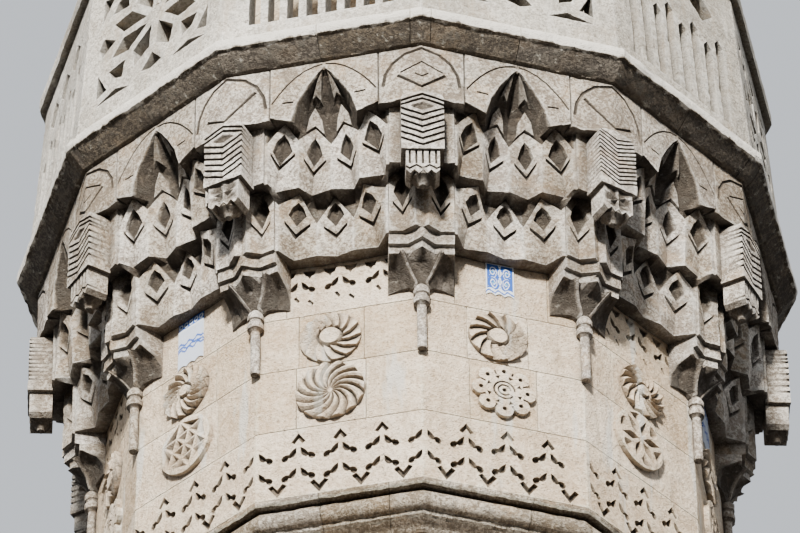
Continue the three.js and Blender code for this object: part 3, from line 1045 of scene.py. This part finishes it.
def rosette(kind, x0, z0):
    """Raised round carving with turned spokes about a flat middle."""
    drop, rings, spokes, phases, twist, steps, blade = ROSETTES[kind]
    z0 -= drop

    def height(r, phase):
        return next((step for reach, step in steps if r < reach), None) or blade(r, phase)

    out = Block()
    middle = out.vertex(x0, DRUM_N + height(0, 0), z0, 0.2)
    loops = []
    for r in rings:
        loop = []
        for spoke in range(spokes):
            for phase in phases:
                stand = height(r, phase)
                x, z = polar(x0, z0, r, (spoke + phase) * math.tau / spokes + twist * (r / rings[-1]))
                # The lower parts of the spokes get painted shade.
                loop.append(out.vertex(x, DRUM_N + stand, z, 0.5, min(1, max(0, (19 - stand) / 13))))
        loops.append(loop)
    rim = [out.places[i] for i in loops[-1]]
    # The foot ring gets painted shade and dirt.
    loops.append([out.vertex(x, MEDALLION_FOOT_N, z, 0, 1.0) for x, _, z in rim])
    out.faces += [(middle, i, j) for i, j in around(loops[0])]
    for near, far in zip(loops, loops[1:]):
        out.band(near, far)
    out.faces.append(tuple(reversed(loops[-1])))
    return out


def chip(relief, loop, low):
    """Hollow with sloping faces, cut down to the points low, which are darkened with painted shade and
    dirt.
    """
    loop = inset(loop, 3)
    deep = dark(*[relief.level(a, z, 24) for a, z in low])
    relief.line([relief.level(a, z) for a, z in loop], 0.5, closed=True)
    relief.line([relief.level(*loop[0], 1)] + deep + [relief.level(*loop[len(loop) // 2], 1)], 0)
    relief.line([relief.level(*loop[-1], 1), deep[-1]], 0)


def carved_disc(x0, z0, petals):
    """Chip-carved disc with a rim: a star of eighteen hollows, or six pointed petals."""
    relief = Relief(DRUM_N + 26)

    def spot(r, turn):
        return polar(x0, z0, r, math.tau * turn / 12 + 0.2)

    relief.outline([relief.level(*spot(146, i / 3), 2) for i in range(36)])
    for i in range(0, 12, 2):
        if petals:
            chip(relief, [spot(6, i), spot(64, i - 0.8), spot(132, i), spot(64, i + 0.8)],
                 [spot(40, i), spot(96, i)])
            chip(relief, [spot(74, i + 1), spot(134, i + 0.3), spot(138, i + 1), spot(134, i + 1.7)],
                 [spot(118, i + 1)])
        else:
            chip(relief, [(x0, z0), spot(72, i), spot(72, i + 2)], [spot(42, i + 0.8)])
            chip(relief, [spot(72, i), spot(136, i + 1), spot(72, i + 2)], [spot(84, i + 1)])
            chip(relief, [spot(72, i + 2), spot(136, i + 1), spot(136, i + 3)], [spot(110, i + 2.1)])
    return relief.block(plain_back(MEDALLION_FOOT_N), 20, 9, 6)


def petal_medallion(x0, z0):
    """Eight round petals with drilled holes about a ringed centre."""
    relief = Relief(DRUM_N + 24)
    turns = [i * math.tau / 8 for i in range(8)]
    border = [polar(*polar(x0, z0, 100, a), 41, a + j * 0.5) for a in turns for j in range(-3, 4)]
    relief.outline([relief.level(a, z, 3) for a, z in border])
    for a in turns:
        relief.cut(circle(*polar(x0, z0, 102, a), 11, 8), 20, 2)
        b = a + math.pi / 8
        relief.cut([polar(x0, z0, r, b + d) for r, d in ((60, 0), (80, -0.16), (80, 0.16))], 14, 3)
        relief.groove([polar(x0, z0, r, b) for r in (88, 112)], 9, 14)
    relief.cut(circle(x0, z0, 11, 8), 20, 2)
    for r in (27, 46):
        relief.groove(circle(x0, z0, r, 20)[:19], 9, 11)
    return relief.block(plain_back(MEDALLION_FOOT_N), 20, 9, 5)


# The two medallions of a side: kind, place along the side and height
MEDALLIONS = ((("wedges", -36, 1365), ("pinwheel", -36, 1060)), (("saw", -25, 1365), ("petals", -5, 1060)),
              (("swirl", -53, 1365), ("facets", -43, 1060)), (("swirl", 8, 1380), ("star", -27, 1087)))
MEDALLION_ORDER = (1, 3, 2, 3, 0, 1, 2, 3, 0, 1, 2, 0)  # on sides 0 to 11


def medallion(kind, x, z):
    if kind == "petals":
        return petal_medallion(x, z)
    if kind in ("facets", "star"):
        return carved_disc(x, z, kind == "star")
    return rosette(kind, x, z)


def glaze(kind, u, v):
    """Paint of a tile, at shares u of its width and v of its height: 0 white, 0.19 pale blue,
    0.5 cobalt, 1 turquoise. It is a border of rings over waves, or scrolls over a wave."""
    if kind == "bands":
        if v > 0.84:
            return 0.0 if 0.22 < math.hypot(u * 5 % 1 - 0.5, (v - 0.92) * 7) < 0.42 else 0.5
        if v > 0.8:
            return 0.0
        waves = ((0.50, 0.03, 6), (0.42, 0.02, 4), (0.36, 0.03, 6))
        near = min(abs(v - level - swing * math.sin(turns * math.pi * u)) for level, swing, turns in waves)
        return 0.5 if near < 0.016 else 0.19
    if v < 0.17:
        return 0.5 if abs(v - 0.08 - 0.03 * math.sin(6 * math.pi * u)) < 0.025 else 0.0
    if min(u, 1 - u, 1 - v) < 0.035:
        return 0.0
    across = abs(u - 0.5) * 1.3
    for x, y, way in ((0.33, 0.74, 1), (0.3, 0.38, -1)):
        r = math.hypot(across - x, v - y)
        if r < 0.035:
            return 1.0
        if r < 0.19:
            arm = r / 0.1 - way * math.atan2(v - y, across - x) / math.tau
            return 0.0 if arm % 1 < 0.4 else 0.5
    return 0.0 if abs(across - 0.06 * math.sin(11 * v) ** 2) < 0.03 else 0.5


def tile_block(kind, x0, x1, z0, z1):
    """Thin glazed tile with a broken lower edge, let into the drum. Its dirt_shade_paint holds the paint.
    """
    out = Block()
    front = DRUM_N + 5
    columns, rows = 36, 54
    grid = []
    for row in range(rows + 1):
        v = row / rows
        line = []
        for column in range(columns + 1):
            u = column / columns
            foot = z0 + 12 * abs(math.sin(3 * math.pi * u))
            z = foot + (z1 - foot) * v
            line.append(out.vertex(x0 + (x1 - x0) * u, front, z, 0.0, glaze(kind, u, v)))
        grid.append(line)
    for low, high in zip(grid, grid[1:]):
        for i in range(columns):
            out.faces.append((low[i], low[i + 1], high[i + 1], high[i]))
    right, left = ([line[i] for line in grid] for i in (-1, 0))
    rim = grid[0] + right[1:] + grid[-1][-2::-1] + left[-2:0:-1]
    back = [out.vertex(out.places[i][0], front - 14, out.places[i][2], -1, 0.0) for i in rim]
    out.band(back, rim)
    out.faces.append(tuple(reversed(back)))
    return out


def ring_side(profile, joints, step, rise, sunk):
    """One side of a ring from a closed profile of (radius, z, worn), anticlockwise as seen with
    the outside to the right. joints are places along the side of the open joints."""
    clear = 6
    fine = []
    for (r0, z0, w0), (r1, z1, _) in around(profile):
        inner = max(r0, r1) < UPPER_R and abs(z1 - z0) > 1
        count = 1 if inner else max(1, math.ceil(math.hypot(r1 - r0, z1 - z0) / rise))
        for i in range(count):
            worn = w0 if i == 0 else (0.15 if w0 >= 0 else -1)
            fine.append((*lerp((r0, z0), (r1, z1), i / count), worn))
    half = max(r for r, _, _ in profile) * SIN
    count = math.ceil(2 * half / step)
    stops = {round(-half + 2 * half * i / count, 3): 0 for i in range(count + 1)}
    for x in joints:
        stops = {t: d for t, d in stops.items() if abs(t - x) > clear or abs(t) > half - 1}
        stops.update({x - JOINT: 0, x: sunk, x + JOINT: 0})
    out = Block([(0, 2 * TOP_Z, joints)])
    columns = []
    for t in sorted(stops):
        column = []
        for r, z, worn in fine:
            depth = stops[t] if worn >= 0 else 0
            column.append(out.vertex(t / half * r * SIN, r * COS - depth, z,
                                     max(worn, 0.9 if depth else worn), 1.0 if depth else 0.0))
        columns.append(column)
    for left, right in zip(columns, columns[1:]):
        out.band(left, right)
    return out


def ring(profile, even, odd, step=30, rise=22, sunk=6):
    """Whole ring, with the places of the joints on its even and odd sides."""
    sides = [ring_side(profile, joints, step, rise, sunk) for joints in (even, odd)]
    return [(sides[k % 2], (k + 0.5) * STEP) for k in range(SIDES)]


PARAPET_RISE = COPING_Z - DECK_Z
PARAPET_LEAN = apothem(PARAPET_FOOT_R) - apothem(PARAPET_HEAD_R)
PANEL_W = 2 * PARAPET_FOOT_R * SIN
PANEL_H = math.hypot(PARAPET_RISE, PARAPET_LEAN)


def panel_spot(x, y):
    """Point of a parapet panel's own plane: x along it, y up from its foot."""
    slope = PARAPET_LEAN / PARAPET_RISE
    up = y * math.cos(math.atan(slope))
    return (x, DECK_Z + up, apothem(PARAPET_FOOT_R) - up * slope)


def star_holes():
    """Kites and gores about the middle of a panel, and two small holes in each corner."""
    middle = (FRAME_FOOT + PANEL_H - FRAME_HEAD) / 2
    holes = []
    for i in range(8):
        a = (i + 0.5) * math.tau / 8
        kite = ((58, a), (200, a + 0.29), (285, a), (200, a - 0.29))
        gore = ((248, a + 0.39), (335, a + 0.58), (352, a + 0.39), (335, a + 0.20))
        for shape in (kite, gore):
            holes.append([(r * math.sin(b), middle + r * math.cos(b)) for r, b in shape])
    for side in (-1, 1):
        edge = side * (PANEL_W / 2 - POST_W)
        for end in (-1, 1):
            tip = middle + end * 370
            for corner in (((0, 200), (0, 45), (62, 70)), ((0, 0), (210, 0), (120, 40))):
                holes.append([(edge - side * along, tip - end * down) for along, down in corner])
    return holes


def slot_holes():
    """Eight pointed slots, long and short in turn, under three diamonds."""
    holes = []
    pitch = (PANEL_W - 2 * POST_W) / 8
    w = pitch * 0.31
    for i in range(8):
        x = (i - 3.5) * pitch
        top = 520 + (i % 2) * 70
        holes.append([(x - w, FRAME_FOOT), (x + w, FRAME_FOOT), (x + w, top), (x, top + 35), (x - w, top)])
    y = PANEL_H - FRAME_HEAD - 175
    for x in (-200, 0, 200):
        holes.append([(x - 80, y), (x, y - 85), (x + 80, y), (x, y + 85)])
    return holes


def parapet_panel(holes, seed):
    relief = Relief()
    _, z0, n0 = panel_spot(0, GAP)
    _, z1, n1 = panel_spot(0, PANEL_H - GAP)
    foot = n0 * TAN - GAP / 2
    head = n1 * TAN - GAP / 2
    relief.outline([(-foot, z0, n0), (foot, z0, n0), (head, z1, n1), (-head, z1, n1)])
    for hole in holes:
        relief.hole([panel_spot(x, y) for x, y in hole])

    def behind(x, n, z, b):
        inner = n - PARAPET_T
        on_edge = min(abs(z - z0), abs(z - z1)) < 1 or abs(x) > n * TAN - 3
        return (x * inner / n if on_edge else x), inner, z
    return relief.block(behind, 34, 17, seed, shade=0.4)


UPPER_ROWS = 6
UPPER_LEVELS = [DECK_Z + GAP + i * (TOP_Z - DECK_Z - GAP) / UPPER_ROWS for i in range(UPPER_ROWS + 1)]


def upper_side(seed, odd):
    """Plain side of the upper shaft in six courses."""
    shifts = [(-150, 40, 170, -60, 110, -10)[(i + odd) % UPPER_ROWS] for i in range(UPPER_ROWS)]
    rows = list(zip(UPPER_LEVELS, UPPER_LEVELS[1:], shifts))
    relief = Relief(UPPER_N, [(low, high, [x]) for low, high, x in rows])
    wall_outline(relief, UPPER_R, UPPER_LEVELS[0], TOP_Z)
    for z in UPPER_LEVELS[1:-1]:
        course(relief, z)
    for low, high, x in rows:
        upright(relief, x, low, high)
    return relief.block(radial_back, 60, 30, seed)


def door_bay(seed):
    """Upper shaft side with the plain doorway on to the balcony."""
    half = UPPER_N * TAN
    jamb = DOOR_W / 2
    foot = UPPER_LEVELS[0]
    head = DECK_Z + DOOR_H
    levels = UPPER_LEVELS[:5]
    relief = Relief(UPPER_N, [(low, high, [0]) for low, high in zip(levels, levels[1:])])
    door = [(-jamb, foot), (-jamb, head), (jamb, head), (jamb, foot)]
    border = [(-half, foot)] + door + [(half, foot), (half, TOP_Z), (-half, TOP_Z)]
    relief.outline([relief.level(x, z) for x, z in border])
    for z in levels[1:]:
        course(relief, z)

    def behind(x, n, z, b):
        if z < head - 0.1:
            return math.copysign(jamb, x), jamb / TAN, z
        return radial_back(x, n, z, b)
    return relief.block(behind, 60, 30, seed)


class Shading:
    """Short ways to add nodes to a shader tree. Each gives the socket of its result."""

    def __init__(self, tree):
        self.tree = tree

    def add(self, kind, inputs, output, **settings):
        """New node with its inputs linked from sockets or set from values."""
        made = self.tree.nodes.new(kind)
        for key, value in settings.items():
            setattr(made, key, value)
        for key, value in inputs.items():
            if isinstance(value, bpy.types.NodeSocket):
                self.tree.links.new(value, made.inputs[key])
            else:
                made.inputs[key].default_value = value
        return made.outputs[output]

    def times(self, a, *factors):
        for factor in factors:
            a = self.add("ShaderNodeMath", {0: a, 1: factor}, 0, operation="MULTIPLY")
        return a

    def plus(self, a, *terms):
        for term in terms:
            a = self.add("ShaderNodeMath", {0: a, 1: term}, 0, operation="ADD")
        return a

    def ramp(self, value, low, high, to=(0, 1)):
        """value brought from low..high to the range `to`."""
        names = ("Value", "From Min", "From Max", "To Min", "To Max")
        return self.add("ShaderNodeMapRange", dict(zip(names, (value, low, high, *to))), 0)

    def blend(self, amount, a, b):
        """Mix of two colours, each a socket or red, green and blue."""
        a, b = (c if isinstance(c, bpy.types.NodeSocket) else (*c, 1) for c in (a, b))
        return self.add("ShaderNodeMix", {0: amount, 6: a, 7: b}, 2, data_type="RGBA", clamp_factor=True)

    def upward(self, vector):
        return self.add("ShaderNodeSeparateXYZ", {0: vector}, "Z")

    def attribute(self, name):
        return self.add("ShaderNodeAttribute", {}, "Fac", attribute_name=name)


class Material(Shading):
    """Material whose colour is built up in layers."""

    def __init__(self, name, roughness, colour):
        self.data = bpy.data.materials.new(name)
        self.data.use_nodes = True
        super().__init__(self.data.node_tree)
        self.shader = self.tree.nodes["Principled BSDF"]
        self.shader.inputs["Roughness"].default_value = roughness
        self.place = self.add("ShaderNodeTexCoord", {}, "Object")
        self.colour = colour

    def noise(self, scale, detail, roughness=0.6, place=None):
        return self.add("ShaderNodeTexNoise", {"Vector": place or self.place, "Scale": scale,
                                               "Detail": detail, "Roughness": roughness}, "Fac")

    def cover(self, colour, *amounts):
        """Lays a colour over the last one where all amounts are high."""
        self.colour = self.blend(self.times(*amounts), self.colour, colour)

    def finished(self):
        self.tree.links.new(self.colour, self.shader.inputs["Base Color"])
        return self.data


# Colours that lie over the stone
BARE_GAIN = (1.35, 1.35, 1.3)
RUST = (0.62, 0.43, 0.25)
DIRT_AND_SHADE = (0.045, 0.034, 0.023)
SPECK = (0.10, 0.08, 0.06)
GRIME_AND_SHADE = (0.035, 0.026, 0.018)
SOOT_AND_SHADE = (0.045, 0.035, 0.026)
DARK_LICHEN = (0.09, 0.08, 0.065)
PALE_LICHEN = (0.55, 0.52, 0.44)
LIME = (0.72, 0.69, 0.62)
WASH = (0.40, 0.31, 0.21)
BLEACHED = (0.86, 0.82, 0.74)


class Stone(Material):
    """Weathered limestone, from its clean tone to its pitted surface."""

    def __init__(self, name, light, dim, mottle):
        super().__init__(name, 0.92, light)
        self.light = light
        self.wide = self.noise(2.6, 4)
        self.patch = self.noise(15, 6, 0.65)
        self.fine = self.noise(72, 6, 0.75)
        shade = self.plus(self.times(self.ramp(self.wide, 0.62, 0.38), 0.4),
                          self.times(self.ramp(self.patch, 0.58, 0.42), 0.5 * mottle),
                          self.times(self.ramp(self.fine, 0.56, 0.42), 0.75 * mottle))
        self.cover(dim, shade)

    def vary_stones(self, vary, stain):
        """Each stone of the masonry has its own tone, and some are stained with iron."""
        own = self.attribute("tone")
        value = self.ramp(own, 0, 1, (1 - 0.24 * vary, 1 + 0.16 * vary))
        saturation = self.ramp(own, 0, 1, (1 + 0.25 * vary, 1 - 0.25 * vary))
        self.colour = self.add("ShaderNodeHueSaturation",
                               {"Value": value, "Saturation": saturation, "Color": self.colour}, 0)
        self.cover(RUST, self.ramp(self.noise(5.5, 4), 0.54, 0.66), stain)

    def dirt_shade_paint(self, grime_and_shade, lichen):
        """Bare worn edges, old dirt and painted shade in the cuts, specks, and grime with painted shade in
        hollows, from ambient occlusion.
        """
        bare = [min(1, c * gain) for c, gain in zip(self.light, BARE_GAIN)]
        self.cover(bare, self.ramp(self.attribute("edge"), 0.45, 1), self.ramp(self.patch, 0.3, 0.7), 0.45)
        # Dirt and painted shade where the vertices carry dirt_shade_paint.
        self.cover(DIRT_AND_SHADE, self.attribute("dirt_shade_paint"), max(grime_and_shade, 0.97), self.ramp(self.patch, 0.1, 0.5))
        self.cover(SPECK, self.ramp(self.noise(52, 4, 0.75), 0.58, 0.66), 0.6 + 0.3 * lichen)
        # Ambient occlusion paints shade into hollows, mixed with grime.
        hollow = self.add("ShaderNodeAmbientOcclusion", {"Distance": 0.09}, "AO", samples=8)
        self.cover(GRIME_AND_SHADE, self.ramp(hollow, 0.9, 0.25), grime_and_shade, self.ramp(self.patch, 0.15, 0.6))

    def encrust_and_shade(self, crust_and_shade, lichen):
        """Soot with painted shade on faces that look down, and dark and pale lichen."""
        # Faces that look down get soot and painted shade.
        underside_shade = self.ramp(self.upward(self.add("ShaderNodeNewGeometry", {}, "Normal")), -0.25, -0.8)
        self.cover(SOOT_AND_SHADE, underside_shade, crust_and_shade, self.ramp(self.wide, 0.25, 0.6))
        spots = self.plus(self.patch, self.times(self.fine, 0.35))
        self.cover(DARK_LICHEN, self.ramp(spots, 0.72, 0.80), lichen)
        self.cover(PALE_LICHEN, self.ramp(self.noise(26, 5, 0.7), 0.60, 0.68), lichen * 0.7)

    def wash_down(self, lime):
        """White runs of lime and brown wash marks down the wall."""
        tall = self.add("ShaderNodeMapping", {"Vector": self.place, "Scale": (1, 1, 0.16)}, 0)
        self.cover(LIME, self.ramp(self.noise(9, 3, place=tall), 0.61, 0.68), lime)
        self.cover(WASH, self.ramp(self.noise(17, 5, place=tall), 0.55, 0.68), 0.4)

    def bleach(self, height):
        """Clean pale stone from a height in metres upwards, with an uneven edge."""
        level = self.plus(self.upward(self.place), self.times(self.patch, 0.07))
        self.cover(BLEACHED, self.ramp(level, height + 0.031, height + 0.04), 0.85)

    def pit(self, coarse):
        """Rough surface with small pits."""
        pits = self.add("ShaderNodeTexVoronoi", {"Vector": self.place, "Scale": 95}, "Distance")
        height = self.plus(self.times(self.patch, 1.2), self.times(self.fine, 0.5),
                           self.times(self.ramp(pits, 0, 0.35), 0.35))
        settings = {"Strength": 0.85, "Distance": 0.009 * coarse, "Height": height}
        self.tree.links.new(self.add("ShaderNodeBump", settings, 0), self.shader.inputs["Normal"])


def stone_material(name, light, dim, grime_and_shade, crust_and_shade, lichen, mottle, lime=0.0, coarse=1.0, vary=1.0,
                   stain=0.3, pale_above=None):
    """Limestone, from its clean tones to its pits. pale_above is a height in metres."""
    stone = Stone(name, light, dim, mottle)
    stone.vary_stones(vary, stain)
    stone.dirt_shade_paint(grime_and_shade, lichen)
    stone.encrust_and_shade(crust_and_shade, lichen)
    if lime:
        stone.wash_down(lime)
    if pale_above:
        stone.bleach(pale_above)
    stone.pit(coarse)
    return stone.finished()


WHITE_GLAZE = (0.74, 0.80, 0.86)
COBALT = (0.03, 0.11, 0.46)
TURQUOISE = (0.05, 0.45, 0.55)
CLAY = (0.62, 0.56, 0.47)


def tile_material():
    """White glaze painted cobalt and turquoise, with chips down to the clay."""
    tile = Material("painted tile", 0.3, WHITE_GLAZE)
    paint = tile.attribute("dirt_shade_paint")
    tile.cover(COBALT, tile.ramp(paint, 0.15, 0.35))
    tile.cover(TURQUOISE, tile.ramp(paint, 0.65, 0.85))
    tile.cover(CLAY, tile.ramp(tile.noise(40, 4, 0.7), 0.62, 0.68), 0.6)
    return tile.finished()


def camera():
    """Long-lens camera of the photograph, below the drum and looking up."""
    pitch = math.radians(42.1412)
    roll = math.radians(-0.507)
    level = Vector((0.03912, 0.99923, 0))
    right = Vector((level.y, -level.x, 0))
    ahead = math.cos(pitch) * level + Vector((0, 0, math.sin(pitch)))
    up = -math.sin(pitch) * level + Vector((0, 0, math.cos(pitch)))
    across = math.cos(roll) * right + math.sin(roll) * up
    above = -math.sin(roll) * right + math.cos(roll) * up
    data = bpy.data.cameras.new("camera")
    data.lens = 260.2
    data.sensor_width = 36
    data.clip_end = 200
    view = bpy.data.objects.new("camera", data)
    turn = Matrix((across, above, -ahead)).transposed().to_4x4()
    view.matrix_world = Matrix.Translation((-0.8019, -19.5729, -14.790)) @ turn
    bpy.context.collection.objects.link(view)
    bpy.context.scene.camera = view


def sky():
    """Pale world, darker towards the ground."""
    world = bpy.data.worlds.new("world")
    world.use_nodes = True
    tree = Shading(world.node_tree)
    background = world.node_tree.nodes["Background"]
    way = tree.add("ShaderNodeTexCoord", {}, "Generated")
    above = tree.ramp(tree.upward(way), -0.15, 0.35)
    colour = tree.blend(above, (0.10, 0.09, 0.08), (0.84, 0.89, 0.96))
    world.node_tree.links.new(colour, background.inputs["Color"])
    background.inputs["Strength"].default_value = 0.9
    bpy.context.scene.world = world


def sun():
    """One soft sun from in front, a little to the side."""
    light = bpy.data.lights.new("sun", "SUN")
    light.energy = 10.5
    light.angle = math.radians(8)
    light.color = (1, 0.96, 0.89)
    lamp = bpy.data.objects.new("sun", light)
    height = math.radians(28)
    lamp.rotation_euler = (math.pi / 2 - height, 0, math.radians(-11))
    bpy.context.collection.objects.link(lamp)


def floor():
    """Pale floor under the camera, far below the part."""
    bm = bmesh.new()
    bmesh.ops.create_grid(bm, x_segments=1, y_segments=1, size=5)
    mesh = bpy.data.meshes.new("floor")
    bm.to_mesh(mesh)
    bm.free()
    plane = bpy.data.objects.new("floor", mesh)
    plane.location.z = -16.4
    bpy.context.collection.objects.link(plane)
    pale = bpy.data.materials.new("floor")
    pale.use_nodes = True
    pale.node_tree.nodes["Principled BSDF"].inputs["Base Color"].default_value = (0.75, 0.76, 0.78, 1)
    mesh.materials.append(pale)


camera()
sky()
sun()
floor()

# Each stone: its light and dim tone, grime with painted shade, crust with painted shade below, lichen and
# mottle
WALL = (stone_material("wall limestone", (0.98, 0.82, 0.63), (0.56, 0.42, 0.28), 0.6, 0.35, 0.1, 0.65,
                       lime=0.8, coarse=2.4, vary=0.55, stain=0.15), "wall_stone")
CARVED = (stone_material("carved limestone", (0.93, 0.85, 0.73), (0.26, 0.21, 0.16), 0.97, 0.95, 0.35, 1.0,
                         coarse=2.2, vary=1.2), "carved_stone")
CORNICE = (stone_material("crusted limestone", (0.46, 0.38, 0.28), (0.07, 0.057, 0.043), 0.8, 0.9, 0.8,
                          1.0, coarse=1.6, stain=0.15, pale_above=2.792), "cornice_stone")
MOULDING = (stone_material("crusted moulding", (0.90, 0.79, 0.64), (0.21, 0.165, 0.115), 0.5, 0.5, 0.5,
                           1.0, coarse=2.4), "carved_stone")
PARAPET = (stone_material("pale limestone", (0.88, 0.83, 0.73), (0.36, 0.325, 0.27), 0.8, 0.5, 0.4, 0.8,
                          lime=0.4, coarse=1.8, stain=0.1), "parapet_stone")


def middle_of(side):
    """Turn about the axis of the middle of a side."""
    return (side + 0.5) * STEP


def build_corbelling():
    """Twelve side bays, and at the corners three kinds of bracket in turn."""
    bay = side_bay(11)
    motifs = (slab_diamond, slab_bent_line(-1), slab_bent_line(1))
    sheets = [corner_sheet(motif, 21 + i) for i, motif in enumerate(motifs)]
    pendants = [pendant_block(35, 31), pendant_block(23.5, 32)]
    tassels = [tassel_block(kind, 41 + i) for i, kind in enumerate(("flutes", "star", "cross"))]
    stem = turned(COLONETTE_AXIS_R, COLONETTE)
    bell = turned(1640, BELL, 12, 0.6)
    for side in range(SIDES):
        build_numbered("muqarnas_bay", side + 1, [(bay, middle_of(side))], CARVED)
    for k in range(SIDES):
        kind = (0, 1, 0, 2)[k % 4]
        blocks = (sheets[kind], pendants[kind == 1], tassels[kind], stem, bell)
        build_numbered("corner_bracket", k + 1, [(block, k * STEP) for block in blocks], CARVED)


def build_drum():
    """Four pieces of three sides, each side with its two medallions."""
    even = [drum_side([(-150, 1), (146, 1), (-158, 2), (112, 2), (-210, 3), (205, 3)], 10, 51),
            drum_side([(-168, 1), (130, 1), (-150, 2), (118, 2), (230, 3)], -6, 52)]
    odd = [drum_side([(-180, 1), (112, 1), (-172, 2), (104, 2), (-249, 3)], 10, 53, half_trees),
           drum_side([(-185, 1), (115, 1), (-175, 2), (108, 2), (-230, 3)], 4, 54, half_trees)]
    for i in range(4):
        blocks = []
        for side in range(3 * i, 3 * i + 3):
            wall = (even, odd)[side % 2][(side // 2) % 2]
            carvings = [medallion(*row) for row in MEDALLIONS[MEDALLION_ORDER[side]]]
            blocks += [(block, middle_of(side)) for block in [wall] + carvings]
        build_numbered("drum_wall", i + 1, blocks, WALL, wear=0.8)


def build_tiles():
    """Broad tiles with bands and narrow ones with scrolls, in turn on every second side."""
    tile = (tile_material(), "tile")
    for side in range(0, SIDES, 2):
        shape = ("bands", -115, 35, 1522, 1780) if side % 4 == 2 else ("scroll", -70, 55, 1602, 1780)
        build("wall_tile_%02d" % (side // 2 + 1), [(tile_block(*shape), middle_of(side))], tile, None)


def build_cornice():
    """Ledge under the parapet, with open joints."""
    profile = [(DRUM_R + GAP, CORNICE_Z, -1), (SLAB_R, CORNICE_Z, 0.2), (1700, 2714, 1), (1765, 2786, 0.7),
               (CORNICE_R, 2792, 1), (CORNICE_R, 2844, 1), (1762, DECK_Z, 1), (DRUM_R + GAP, DECK_Z, -1)]
    build("cornice_ledge", ring(profile, (-11, -419), (-11, 407), rise=18, step=22, sunk=14), CORNICE,
          ["cornice"], wear=3, crease=15)


def build_deck():
    """Floor of the balcony round the stair well."""
    profile = [(BORE_R, CORNICE_Z, -1), (DRUM_R, CORNICE_Z, -1), (DRUM_R, DECK_Z, 0.5),
               (BORE_R, DECK_Z, 0.5)]
    build("balcony_deck", ring(profile, (0,), (0,), step=60, rise=60), CORNICE, ["balcony_floor"])


def build_shaft_head():
    """Top of the narrower shaft."""
    profile = [(BORE_R, 0, -1), (SHAFT_R, 0, 0.5), (SHAFT_R, MOULDING_Z, 0.5), (BORE_R, MOULDING_Z, -1)]
    build("shaft_top", ring(profile, (-120, 190), (60,), step=34), WALL, ["shaft_head"])


def build_moulding():
    """Chamfer, roll and fillet at the foot of the drum."""
    arc = [math.pi * (i - 4) / 8 for i in range(8)]
    roll = [(1318 + 36 * math.cos(a), 451 + 45 * math.sin(a), 0.6) for a in arc]
    foot, head = MOULDING_Z + GAP, DRUM_Z - GAP
    profile = [(BORE_R, foot, -1), (1247, foot, 0.5), (1265, 362, 0.5), (1300, 384, 1), (1312, 392, 1),
               (1312, 404, 0), *roll, (1326, 497, 0), (1326, 499, 0), (1376, 496, 1), (1381, 502, 1),
               (1380, head, 0.6), (BORE_R, head, -1)]
    build("roll_moulding_ring", ring(profile, (120,), (-90, 210), step=20, rise=12), MOULDING,
          ["roll_moulding"], wear=2.6, crease=40)


def build_coping():
    """Coping of the parapet, with a sloping top edge outside and inside."""
    inner, outer, arris_z = PARAPET_HEAD_R - 145, PARAPET_HEAD_R + 34, COPING_Z + 70
    profile = [(inner, COPING_Z, 0.3), (outer, COPING_Z, 1), (outer, arris_z, 1),
               (PARAPET_HEAD_R + 8, COPING_TOP_Z, 1), (PARAPET_HEAD_R - 125, COPING_TOP_Z, 1),
               (inner, arris_z, 1)]
    build("parapet_top", ring(profile, (0,), (0,), step=34, rise=30), PARAPET, ["parapet_coping"])


def build_parapet():
    """Twelve pierced panels, with a star and with slots in turn."""
    panels = (parapet_panel(star_holes(), 61), parapet_panel(slot_holes(), 62))
    for side in range(SIDES):
        build_numbered("parapet_panel", side + 1, [(panels[side % 2], middle_of(side))], PARAPET, wear=1.2)


def build_upper_shaft():
    """Three plain pieces, and the side with the doorway."""
    upper = [upper_side(71, 0), upper_side(72, 1)]
    side = DOOR_SIDE + 1
    for i, count in enumerate((4, 4, 3)):
        blocks = [(upper[(side + j) % 2], middle_of(side + j)) for j in range(count)]
        build_numbered("upper_shaft_wall", i + 1, blocks, WALL, wear=0.7)
        side += count
    build("upper_shaft_doorway", [(door_bay(73), middle_of(DOOR_SIDE))], WALL, ["upper_shaft_door_bay"])


build_corbelling()
build_drum()
build_tiles()
build_cornice()
build_deck()
build_shaft_head()
build_moulding()
build_coping()
build_parapet()
build_upper_shaft()
